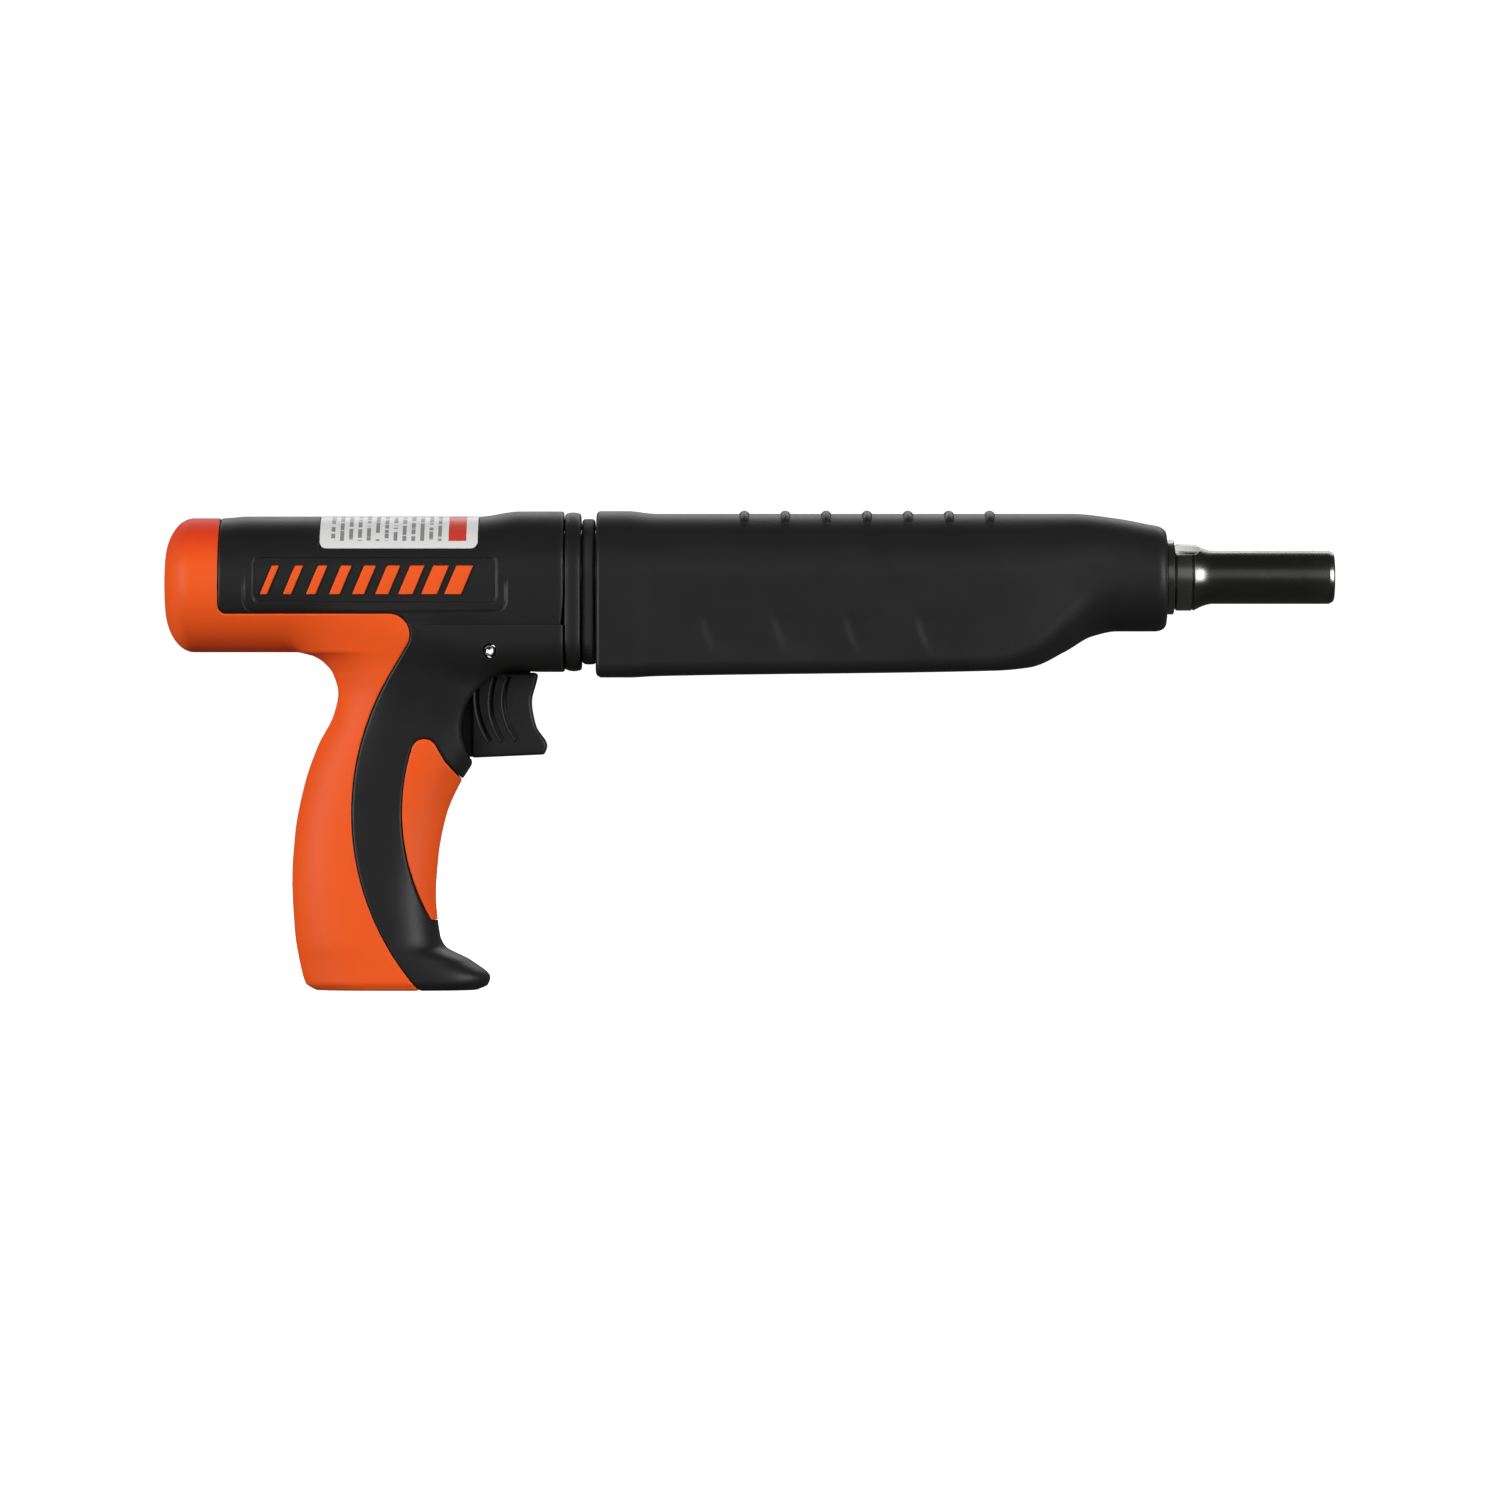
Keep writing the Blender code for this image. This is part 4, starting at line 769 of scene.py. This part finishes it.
bumper = copy_of(outer, "bumper_and_backstrap")
carve(bumper, slab("zone", bumper_outline(-seam / 2), -through, through), operation="INTERSECT")
carve(bumper, lining, keep=True)
carve(bumper, rod("recess", -2, screw_recess_depth, screw_recess_radius, sides=96))
dress(bumper, orange_rubber, "handle", "orange_rubber", "rear_overmould")

front_strap = copy_of(outer, "front_strap")
carve(front_strap, slab("zone", strap_outline(-seam / 2), -through, through), operation="INTERSECT")
carve(front_strap, lining)
dress(front_strap, orange_rubber, "handle", "orange_rubber", "front_strap_overmould")
bpy.data.objects.remove(outer)

# ==================================================
# Raised marking in the side panels
# A row of slanted orange rubber bars stands in each side panel, moulded through from the overmould. The
# bars are narrow at the rear and wide at the front.
# ==================================================
class Maker:
    """A tree of geometry nodes with named inputs, run once on an object."""

    def __init__(self, name):
        self.tree = bpy.data.node_groups.new(name, "GeometryNodeTree")
        self.tree.is_modifier = True
        self.values = {}
        for way in ("INPUT", "OUTPUT"):
            self.tree.interface.new_socket("Geometry", in_out=way, socket_type="NodeSocketGeometry")
        self.start = self.tree.nodes.new("NodeGroupInput")

    def given(self, name, value, kind="NodeSocketFloat"):
        """A named input, set to its value when the tree runs."""
        socket = self.tree.interface.new_socket(name, in_out="INPUT", socket_type=kind)
        self.values[socket.identifier] = value
        return self.start.outputs[name]

    def node(self, kind, settings=None, out=0, **links):
        made = self.tree.nodes.new(kind)
        for key, value in (settings or {}).items():
            setattr(made, key, value)
        for key, value in links.items():
            socket = made.inputs[int(key[1:])] if key[1:].isdigit() else made.inputs[key.replace("_", " ")]
            if isinstance(value, bpy.types.NodeSocket):
                self.tree.links.new(value, socket)
            else:
                socket.default_value = value
        return made.outputs[out]

    def maths(self, operation, first, second=0.0):
        return self.node("ShaderNodeMath", {"operation": operation}, i0=first, i1=second)

    def run(self, name, geometry, material, piece=None):
        """Realizes the geometry with its material and returns it as an object."""
        whole = self.node("GeometryNodeRealizeInstances", Geometry=geometry)
        whole = self.node("GeometryNodeSetMaterial", Geometry=whole, Material=material)
        end = self.tree.nodes.new("NodeGroupOutput")
        self.tree.links.new(whole, end.inputs[0])
        piece = piece or object_of(name, bpy.data.meshes.new(name))
        grow = piece.modifiers.new("grow", "NODES")
        grow.node_group = self.tree
        for identifier, value in self.values.items():
            grow[identifier] = value
        applied(piece)
        piece.name = name
        return piece


bar_count = 9
bar_start, bar_pitch = 31.4, 6.9
bar_width, bar_growth = 2.0, 0.36       # of the rear bar, and how much wider each next one is
bar_height, bar_slant = 8.4, 0.42
bar_centre_z = -1.1
bar_rise = 0.5


def panel_bars(name, side):
    """Bars laid flat by geometry nodes, then wrapped on to the side of the housing."""
    maker = Maker("bars")
    count = maker.given("Count", bar_count, "NodeSocketInt")
    pitch = maker.given("Pitch", bar_pitch)
    width = maker.given("Width", bar_width)
    growth = maker.given("Growth", bar_growth)
    tall = maker.given("Height", bar_height)
    step_by = maker.node("ShaderNodeCombineXYZ", X=pitch)
    row = maker.node("GeometryNodeMeshLine", Count=count, Offset=step_by)
    bar = maker.node("GeometryNodeMeshCube", Size=(1, 1, 1), Vertices_X=5, Vertices_Y=2, Vertices_Z=22)
    index = maker.node("GeometryNodeInputIndex")
    wide = maker.maths("ADD", width, maker.maths("MULTIPLY", index, growth))
    scale = maker.node("ShaderNodeCombineXYZ", X=wide, Y=1.0, Z=tall)
    bars = maker.node("GeometryNodeInstanceOnPoints", Points=row, Instance=bar, Scale=scale)
    piece = maker.run(name, bars, orange_rubber)
    bevel = piece.modifiers.new("round", "BEVEL")
    bevel.width = 0.22
    bevel.segments = 3
    bevel.limit_method = "ANGLE"
    applied(piece)
    x, thick, z = points_of(piece.data).T
    x = bar_start + x + bar_slant * z
    z = bar_centre_z + z
    inner, outside = np.full(len(x), 10.0), np.full(len(x), 25.0)
    for _ in range(24):
        y = (inner + outside) / 2
        under = housing_form(x, y, z) < 0
        inner, outside = np.where(under, y, inner), np.where(under, outside, y)
    y = inner - panel_depth + (thick + 0.5) * (bar_rise + 0.3) - 0.3
    points = np.stack([x, side * y, z], 1)
    piece.data.vertices.foreach_set("co", points.astype(np.float32).ravel())
    piece.data.update()
    if side < 0:
        piece.data.flip_normals()
    dress(piece, orange_rubber, "handle", "orange_rubber")


panel_bars("panel_bars_right", -1)
panel_bars("panel_bars_left", 1)

# ==================================================
# Top label
# A printed white film with rounded corners, wrapped over the top of the tube in a shallow recess. It
# carries plain grey bars in columns and one red bar, in place of any lettering.
# ==================================================
label_thickness = 0.25
label_corner = 2.0
label_width = 40.84
column_pitch = 2.6
print_margin = 2.6
red_bar = (37.6, 42.8)


def label_look():
    """White film printed with grey bars in columns and one red bar, by millimetres along and round it."""
    look = Look("label_film")
    u = look.node("ShaderNodeAttribute", {"attribute_name": "across"}, out="Fac")
    v = look.node("ShaderNodeAttribute", {"attribute_name": "along"}, out="Fac")
    columns = u / column_pitch
    column = columns % 1.0
    number = columns.maths("FLOOR", columns)
    where = look.node("ShaderNodeCombineXYZ", None, number * 7.3, v * 0.55, 0.0)
    word = look.node("ShaderNodeTexNoise", None, Vector=where, Scale=1.0, Detail=3.0)
    printed = (v > print_margin) * (v < label_width - print_margin)
    bars = (abs(column - 0.5) < 0.22) * (word > 0.44) * printed * (u > 3.0) * (u < 35.6)
    red = (u > red_bar[0]) * (u < red_bar[1]) * printed
    cloud = look.noise(9 * mm, 3.0)
    base = look.mix(cloud, (0.80, 0.80, 0.79), (0.70, 0.70, 0.69))
    base = look.mix(bars * 0.85, base, (0.16, 0.16, 0.17))
    base = look.mix(red, base, (0.62, 0.045, 0.03))
    return look.finish(base, 0.34 + cloud * 0.12, look.noise(1.2 * mm, 2.0), 0.01 * mm)


looks["label_film"] = label_look()
x_start, x_end = label_x
reach = math.radians(label_angle) * label_radius
columns = 72
rows = 64
label_rise = 0.05                # of its face over the housing
rings = []
print_at = []
for i in range(columns + 1):
    x = x_start + (x_end - x_start) * i / columns
    cut = max(label_corner - min(x - x_start, x_end - x), 0)
    half = reach - label_corner + math.sqrt(max(label_corner ** 2 - cut ** 2, 0.0004))
    ring = []
    for radius, way in ((label_radius + label_rise, 1), (label_radius + label_rise - label_thickness, -1)):
        for j in range(rows + 1)[::way]:
            across = half * (2 * j / rows - 1)
            turn = across / label_radius
            ring.append((x, radius * math.sin(turn), label_axis + radius * math.cos(turn)))
            print_at.append((x - x_start, across + reach))
    rings.append(ring)
label = shell("label", rings)
for name, k in (("across", 0), ("along", 1)):
    held = label.data.attributes.new(name, "FLOAT", "POINT")
    held.data.foreach_set("value", np.array(print_at, np.float32)[:, k].copy())
dress(label, looks["label_film"], "handle", "label_film", "top_label")

# ==================================================
# Collar behind the barrel grip
# A moulded flange with a slightly domed rim closes the front of the housing, and a rubber ring in front
# of it takes the knock when the barrel grip is pulled back. Both sit on the receiver tube.
# ==================================================
def collar(name, start, end, top, bottom, corner, crown, edge, hole):
    """D-shaped ring on the bore axis whose rim is domed by a crown and rounded at its edges."""
    half_width = min(top, housing_half_width)
    rings = []
    for x in np.unique(np.concatenate([np.linspace(start, start + edge, 7), np.linspace(start, end, 12),
                                       np.linspace(end - edge, end, 7)])):
        share = 2 * (x - start) / (end - start) - 1
        near = max(0.0, edge - min(x - start, end - x))
        inset = crown * share ** 2 + edge - math.sqrt(max(edge ** 2 - near ** 2, 0.0))
        outline = d_outline(half_width - inset, top - inset, bottom - inset, corner - inset * 0.5, 24)
        rings.append([(x, y, z) for y, z in outline])
    for x in (end, start):
        ring = []
        for _, y, z in rings[0]:
            away = math.hypot(y, z)
            ring.append((x, y / away * hole, z / away * hole))
        rings.append(ring)
    return shell(name, rings, closed=True)


flange_x, ring_x = (117.3, 122.0), (122.3, 126.2)
collar_hole = receiver_radius + seam
shoulder_corner = 9.0
flange = collar("flange", *flange_x, 19.1, 27.5, shoulder_corner, 0.5, 0.5, collar_hole)
dress(flange, black_nylon, "handle", "black_nylon", "front_flange")
cushion = collar("cushion_ring", *ring_x, 17.2, 25.5, shoulder_corner - 2, 0.15, 0.9, collar_hole)
dress(cushion, black_rubber, "handle", "black_rubber", "buffer_ring")

# ==================================================
# Barrel grip sleeve
# The long nylon sleeve that the left hand pulls forward to load: thicker behind a sloped step, with seven
# ribs across its top, four shallow finger scoops on each side and a nose that closes on the barrel.
# ==================================================
sleeve_start, sleeve_end = 126.5, 293.8
sleeve_wall = 2.4
sleeve_top = curve([(126.5, 19.5), (135.5, 19.5), (144.2, 18.7), (266, 18.7), (279.4, 17.3), (291.7, 15.1),
                    (293.8, 14.9)])
sleeve_bottom = curve([(126.5, 29.3), (135.5, 29.3), (144.2, 28.9), (244, 27.3), (254, 26.4), (264, 21.9),
                       (272, 17.4), (279.4, 15.9), (293.8, 15.9)])
sleeve_width = curve([(126.5, 19.5), (135.5, 19.5), (144.2, 18.8), (244, 18.8), (279.4, 15.5), (293.8, 15.5)])
sleeve_corner = curve([(126.5, 4.0), (240, 4.0), (276, 15.5), (293.8, 15.5)])
lip_edge, lip_length = 1.6, 1.1
nose_edge, nose_length = 2.2, 3.3
scoop_first, scoop_pitch, scoop_count = 156.4, 20.9, 4
scoop_top, scoop_bottom = -9.0, -25.0
scoop_depth = 0.62
scoop_lean = 6.0                 # how far forward a scoop's rear edge bends on its way down


def drawn_in(x):
    """How far the sleeve's outline is rounded in at its two ends."""
    share = min(1, (x - sleeve_start) / lip_length)
    lip = lip_edge * (1 - math.sqrt(1 - (1 - share) ** 2))
    nose = nose_edge * (1 - math.sqrt(1 - max(0.0, 1 - (sleeve_end - x) / nose_length) ** 2))
    return lip + nose


def sleeve_outline(x, inset):
    """The sleeve's section at a place along it, drawn in all round."""
    return d_outline(float(sleeve_width(x)) - inset, float(sleeve_top(x)) - inset,
                     float(sleeve_bottom(x)) - inset, max(float(sleeve_corner(x)) - inset, 1.2), 26)


def scoops(x, z):
    """Depth of the finger scoops at a place on the side."""
    down = np.clip((scoop_top - z) / (scoop_top - scoop_bottom), 0, 1)
    window = step(down, 0.0, 0.35) * (1 - step(down, 0.6, 1.0))
    deepest = np.zeros_like(x)
    for i in range(scoop_count):
        start = scoop_first + i * scoop_pitch + scoop_lean * down ** 2
        t = (x - start) / (scoop_pitch * 1.05)
        dish = step(t, -0.02, 0.13) * (1 - np.clip(t, 0, 1)) ** 1.4
        deepest = np.maximum(deepest, dish * (t < 1))
    return scoop_depth * deepest * window


places = np.unique(np.round(np.concatenate([
    sleeve_start + lip_length * np.linspace(0, 1, 7) ** 1.5, np.arange(sleeve_start + lip_length, 152, 0.7),
    np.arange(152, 240, 0.45), np.arange(240, 290.5, 0.7),
    sleeve_end - nose_length * np.linspace(0, 1, 10) ** 1.6]), 4))
rings = []
for x in places:
    y, z = np.array(sleeve_outline(x, drawn_in(x))).T
    y = y - np.sign(y) * scoops(np.full(len(y), x), z) * (np.abs(y) > 12)
    rings.append([(x, b, c) for b, c in zip(y, z)])
for x in (sleeve_end, 290, 284, 279.4, 276, 272, 268, 264, 260, 254, 248, 244, 200, 144.2, 140, 135.5,
          sleeve_start):
    rings.append([(x, y, z) for y, z in sleeve_outline(x, sleeve_wall)])
sleeve = shell("barrel_grip_sleeve", rings, closed=True)

rib_count, rib_first, rib_pitch = 7, 169.9, 12.0
rib_radius, rib_sink = 1.6, 0.65
rib_half_angle = 35.8
maker = Maker("ribs")
count = maker.given("Count", rib_count, "NodeSocketInt")
pitch = maker.given("Pitch", rib_pitch)
thick = maker.given("Radius", rib_radius)
arc_radius = maker.given("Arc radius", float(sleeve_width(200)) - rib_sink)
bow = maker.node("GeometryNodeCurveArc", Resolution=40, Radius=arc_radius,
                 Start_Angle=math.radians(90 - rib_half_angle), Sweep_Angle=math.radians(2 * rib_half_angle))
bow = maker.node("GeometryNodeTransform", Geometry=bow, Rotation=(math.pi / 2, 0, math.pi / 2))
way = maker.node("GeometryNodeSplineParameter")
off_centre = maker.maths("ABSOLUTE", maker.maths("SUBTRACT", maker.maths("MULTIPLY", way, 2.0), 1.0))
taper = maker.maths("SQRT", maker.maths("SUBTRACT", 1.02, maker.maths("POWER", off_centre, 6.0)))
bow = maker.node("GeometryNodeSetCurveRadius", Curve=bow, Radius=taper)
ring = maker.node("GeometryNodeCurvePrimitiveCircle", Resolution=16, Radius=thick)
rib = maker.node("GeometryNodeCurveToMesh", Curve=bow, Profile_Curve=ring, Scale=taper, Fill_Caps=True)
first = maker.given("First", (rib_first, 0.0, float(sleeve_top(200) - sleeve_width(200))), "NodeSocketVector")
row = maker.node("GeometryNodeMeshLine", Count=count, Start_Location=first,
                 Offset=maker.node("ShaderNodeCombineXYZ", X=pitch))
ribs = maker.run("ribs", maker.node("GeometryNodeInstanceOnPoints", Points=row, Instance=rib), sleeve_nylon)
bm = bmesh.new()
bm.from_mesh(ribs.data)
bmesh.ops.remove_doubles(bm, verts=bm.verts[:], dist=1e-4)
bmesh.ops.recalc_face_normals(bm, faces=bm.faces[:])
bm.to_mesh(ribs.data)
bm.free()
carve(sleeve, ribs, operation="UNION")
dress(sleeve, sleeve_nylon, "barrel_grip", "black_nylon", "front_sleeve")

# ==================================================
# Muzzle and the washer behind it
# The muzzle bushing is turned from steel and screwed on the barrel: a collar with two wrench flats, a
# cone and a plain nose with a chamfered end, all dark oxide.
# ==================================================
def turned(name, profile, sides=128):
    """Body turned about the bore axis from (place along it, radius); it closes on itself round a bore."""
    angles = np.radians(np.arange(sides) * 360 / sides)
    rings = [[(x, r * math.cos(a), r * math.sin(a)) for a in angles] for x, r in profile]
    return shell(name, rings, closed=True)


muzzle_start, tool_length = 296.3, 343.1
collar_radius, nose_radius, muzzle_bore = 9.8, 7.8, 4.1
collar_front, cone_front = 301.9, 307.4
thread_radius, thread_end = 7.3, 300.0
wrench_flat, wrench_turn = 8.8, math.radians(23)
profile = [(muzzle_start, collar_radius - 0.5), (muzzle_start + 0.5, collar_radius)]
profile += [(collar_front - 0.9, collar_radius), (collar_front - 0.7, collar_radius - 0.3),
            (collar_front - 0.4, collar_radius - 0.3), (collar_front - 0.2, collar_radius - 0.05)]
cone_radius = collar_radius - 0.05
cone_hollow = 1.7                # how strongly the cone is curved in
for t in np.linspace(0, 1, 14):
    profile.append((collar_front + (cone_front - collar_front) * t,
                    nose_radius + (cone_radius - nose_radius) * (1 - t) ** cone_hollow))
profile += [(cone_front + (tool_length - cone_front) * t, nose_radius) for t in (0.25, 0.5, 0.75)]
profile += [(tool_length - 1.6, nose_radius), (tool_length - 1.5, nose_radius - 0.03),
            (tool_length - 0.45, nose_radius - 0.55), (tool_length - 0.1, nose_radius - 1.0),
            (tool_length, nose_radius - 1.35), (tool_length, muzzle_bore + 0.5),
            (tool_length - 0.5, muzzle_bore), (thread_end, muzzle_bore), (thread_end, thread_radius),
            (muzzle_start, thread_radius)]
muzzle = turned("muzzle", profile, 160)
for side in (1, -1):
    flat = block("flat", muzzle_start - 2, cone_front, -12, 12, side * wrench_flat, side * (wrench_flat + 4))
    flat.data.transform(Matrix.Rotation(wrench_turn, 4, "X"))
    carve(muzzle, flat)
dress(muzzle, blued_steel, "barrel", "blued_steel", "muzzle_bushing", sharp=25)

washer_x, washer_radius, barrel_radius = (293.8, 296.0), 10.9, 9.0
profile = [(washer_x[0], washer_radius - 0.3), (washer_x[0] + 0.3, washer_radius),
           (washer_x[1] - 0.3, washer_radius), (washer_x[1], washer_radius - 0.3),
           (washer_x[1], barrel_radius + seam), (washer_x[0], barrel_radius + seam)]
dress(turned("washer", profile), blued_steel, "barrel", "blued_steel", "barrel_washer", sharp=25)

# ==================================================
# Receiver tube
# Dark oxide steel tube that the barrel slides in: seen when the barrel grip is pulled forward, with the
# loading port in its top, the groove of its retaining ring and the slot for the pawl.
# ==================================================
receiver_x, receiver_bore = (12.0, 218.0), 11.8
port_x, port_half = (146.0, 182.0), 8.5
clip_x, clip_depth = (197.5, 200.1), 0.6
pawl_x, pawl_half = (205.2, 213.8), 2.3
sear_slot_x = (80.0, 88.2)
profile = [(receiver_x[0], receiver_bore + 0.4), (receiver_x[0], receiver_radius - 0.4),
           (receiver_x[0] + 0.4, receiver_radius)]
profile += [(x, receiver_radius) for x in (60, 117, 140, 160, 180)]
profile += [(clip_x[0], receiver_radius), (clip_x[0], receiver_radius - clip_depth),
            (clip_x[1], receiver_radius - clip_depth), (clip_x[1], receiver_radius),
            (receiver_x[1] - 0.5, receiver_radius), (receiver_x[1], receiver_radius - 0.5),
            (receiver_x[1], receiver_bore + 0.3), (receiver_x[1] - 0.3, receiver_bore),
            (receiver_x[0] + 0.4, receiver_bore)]
receiver = turned("receiver", profile)
port_corner = 3
port_middle, port_half_length = sum(port_x) / 2, (port_x[1] - port_x[0]) / 2
port = []
for turn, (x, y) in enumerate(((1, 1), (-1, 1), (-1, -1), (1, -1))):
    centre = (port_middle + x * (port_half_length - port_corner), y * (port_half - port_corner))
    port += arc(centre, port_corner, 90 * turn, 90 * turn + 90, 8)
carve(receiver, shell("port", [[(x, y, z) for x, y in port] for z in (0, 20)]),
      block("pawl_slot", *pawl_x, -pawl_half, pawl_half, 0, 20),
      block("sear_slot", *sear_slot_x, -pawl_half, pawl_half, -20, 0))
dress(receiver, blued_steel, "handle", "blued_steel", "receiver_tube", sharp=25)

# ==================================================
# Pins and the rear screw
# A bright rolled spring pin, open at both ends, holds the trigger; a plain pin carries the sear. The
# socket screw in the bumper draws the receiver tube back against the housing.
# ==================================================
roll_wall = 0.5
roll_gap = 28                    # half of the open part of the pin's wall, in degrees
bore_line = arc(pin_place, pin_radius - roll_wall, 180 - roll_gap, roll_gap - 180, 64)
rings = []
for y in (-pin_half_length, -pin_half_length + 0.25, 0.0, pin_half_length - 0.25, pin_half_length):
    drawn = 0.2 if abs(y) == pin_half_length else 0.0
    outer_line = arc(pin_place, pin_radius - drawn, roll_gap - 180, 180 - roll_gap, 64)
    rings.append([(x, y, z) for x, z in outer_line + bore_line])
dress(shell("rolled_pin", rings), bright_steel, "handle", "bright_steel", "trigger_pin")

screw_head_x, screw_head_radius, screw_head_height, screw_radius = 2.3, 4.0, 3.6, 2.2
screw_end = 25.5
socket_depth, socket_radius = 2.0, 2.3
head_end = screw_head_x + screw_head_height
tiny_radius = 0.02
profile = [(screw_head_x, tiny_radius), (screw_head_x, screw_head_radius - 0.45),
           (screw_head_x + 0.13, screw_head_radius - 0.15), (screw_head_x + 0.45, screw_head_radius),
           (head_end - 0.1, screw_head_radius), (head_end, screw_head_radius - 0.1),
           (head_end, screw_radius), (screw_end - 0.6, screw_radius),
           (screw_end, screw_radius - 0.6), (screw_end, tiny_radius)]
angles = np.radians(np.arange(0, 360, 4))
screw = shell("socket_screw", [[(x, r * math.cos(a), r * math.sin(a)) for a in angles] for x, r in profile])
carve(screw, rod("socket", screw_head_x - 1, screw_head_x + socket_depth, socket_radius, sides=6))
dress(screw, bright_steel, "handle", "bright_steel", "rear_screw")

# ==================================================
# Trigger
# Moulded nylon finger piece with a hollowed front and three curved grooves on each side. It slides
# straight back; a narrower tongue behind it closes its slot and a stem rides on the rolled pin.
# ==================================================
def swept(name, path, radius, material, sides):
    """Round wire or groove of a radius along a path, made by geometry nodes."""
    mesh = bpy.data.meshes.new(name)
    mesh.from_pydata([tuple(p) for p in path], [(i, i + 1) for i in range(len(path) - 1)], [])
    maker = Maker("sweep")
    thick = maker.given("Radius", radius)
    line = maker.node("GeometryNodeMeshToCurve", Mesh=maker.start.outputs[0])
    ring = maker.node("GeometryNodeCurvePrimitiveCircle", Resolution=sides, Radius=thick)
    body = maker.node("GeometryNodeCurveToMesh", Curve=line, Profile_Curve=ring, Fill_Caps=True)
    return maker.run(name, body, material, object_of(name, mesh))


trigger_rear, trigger_width = 89.9, 13.0
trigger_bottom, trigger_top = -53.0, -28.0
tongue_rear, tongue_half = 86.7, 2.6
stem_x, stem_top, stem_half = (92.2, 107.0), -17.5, 3.5
trigger_stroke = 6.0
trigger_edge = 1.5
groove_radius = 0.95
front_line = curve([(-53.0, 109.5), (-51.8, 111.1), (-49.4, 111.9), (-43.5, 108.6), (-36.6, 107.4),
                    (-28.0, 109.2)])
levels = np.concatenate([np.linspace(-53.0, -49.4, 8), np.linspace(-48.5, trigger_top, 20)])
outline = [(trigger_rear, trigger_top), (trigger_rear, trigger_bottom)]
outline += [(float(front_line(z)), max(z, trigger_bottom + 0.9)) for z in levels[1:]]
trigger = slab("trigger_piece", outline, -trigger_width / 2, trigger_width / 2)
bevel = trigger.modifiers.new("round", "BEVEL")
bevel.width = trigger_edge
bevel.segments = 5
bevel.limit_method = "ANGLE"
bevel.angle_limit = math.radians(50)
applied(trigger)
grooves = [((92.0, -29.5), (91.6, -39.0), (95.3, -48.4)), ((96.8, -29.0), (95.5, -39.0), (99.1, -48.2)),
           ((100.7, -29.0), (99.4, -38.6), (103.3, -48.0))]
for (x0, z0), (x1, z1), (x2, z2) in grooves:
    for side in (-1, 1):
        path = []
        for t in np.linspace(0, 1, 24):
            u = 1 - t                # the line bends so that it passes through its middle point
            bend_x, bend_z = 2 * x1 - (x0 + x2) / 2, 2 * z1 - (z0 + z2) / 2
            path.append((u * u * x0 + 2 * u * t * bend_x + t * t * x2, side * (trigger_width / 2 + 0.05),
                         u * u * z0 + 2 * u * t * bend_z + t * t * z2))
        carve(trigger, swept("groove", path, groove_radius, black_nylon, 18))
carve(trigger, block("tongue", tongue_rear, trigger_rear + 3, -tongue_half, tongue_half,
                     trigger_bottom + seam, trigger_top - seam),
      block("stem", *stem_x, -stem_half, stem_half, trigger_top - 4, stem_top), operation="UNION")
x, z = pin_place
slot_line = arc((x + trigger_stroke, z), pin_radius + seam, -90, 90, 24)
slot_line += arc((x, z), pin_radius + seam, 90, 270, 24)
carve(trigger, slab("travel_slot", slot_line, -8, 8))
dress(trigger, black_nylon, "trigger", "black_nylon", "trigger")

# ==================================================
# Springs
# Round steel wire, wound with closed ends: the long one behind the muzzle that holds the barrel out, two
# behind the breech, and small ones behind the trigger and over the sear's tail. Each shortens in use.
# ==================================================
def spring(name, start, end, radius, wire, turns, node, body="handle"):
    """Compression spring of round wire wound between two points, with closed ends."""
    start, end = np.array(start, float), np.array(end, float)
    length = np.abs(end - start).sum() - wire
    closed = wire * 1.03
    pitch = (length - 2 * closed) / (turns - 2)
    turn = np.linspace(0, turns, turns * 28 + 1)
    height = wire / 2 + closed * np.minimum(turn, 1) + closed * np.maximum(turn - turns + 1, 0)
    height = height + pitch * np.clip(turn - 1, 0, turns - 2)
    across, up = radius * np.cos(2 * np.pi * turn), radius * np.sin(2 * np.pi * turn)
    if abs(end[0] - start[0]) > 1:
        path = np.stack([start[0] + height, across, start[2] + up], 1)
    else:
        path = np.stack([start[0] + across, up, start[2] + height], 1)
    coil = swept(name, path, wire / 2, spring_steel, 10)
    dress(coil, spring_steel, body, "spring_steel", node, sharp=60)
    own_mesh(coil)


spring("barrel_return_spring", (223.3, 0, 0), (261.7, 0, 0), 11.2, 1.8, 7,
       "barrel_spring", "barrel_grip")
spring("breech_return_spring", (26.3, 0, 0), (77.7, 0, 0), 9.8, 1.6, 8,
       "breech_spring")
spring("firing_spring", (26.3, 0, 0), (59.7, 0, 0), 5.0, 1.2, 7,
       "firing_pin_spring")
spring("trigger_return_spring", (70.3, 0, -41.5), (86.4, 0, -41.5), 2.2, 0.9, 6,
       "trigger_spring")
spring("sear_return_spring", (68.5, 0, -21.2), (68.5, 0, -14.3), 1.5, 0.6, 5,
       "sear_spring")

# ==================================================
# Pieces kept from the solid model
# Working parts inside the tool whose plain turned or milled shapes are right as they are: they take the
# finish of their slot. Ground and turned steel for the piston, pins and block, rubber for the buffers.
# ==================================================
slot_of = {row["node"]: row["material_slot"] for row in frame["record"]["subparts"]}
for name, node in frame["nodes"].items():
    if not node.hide_render:
        node.data.materials.clear()
        node.data.materials.append(looks[slot_of[name]])
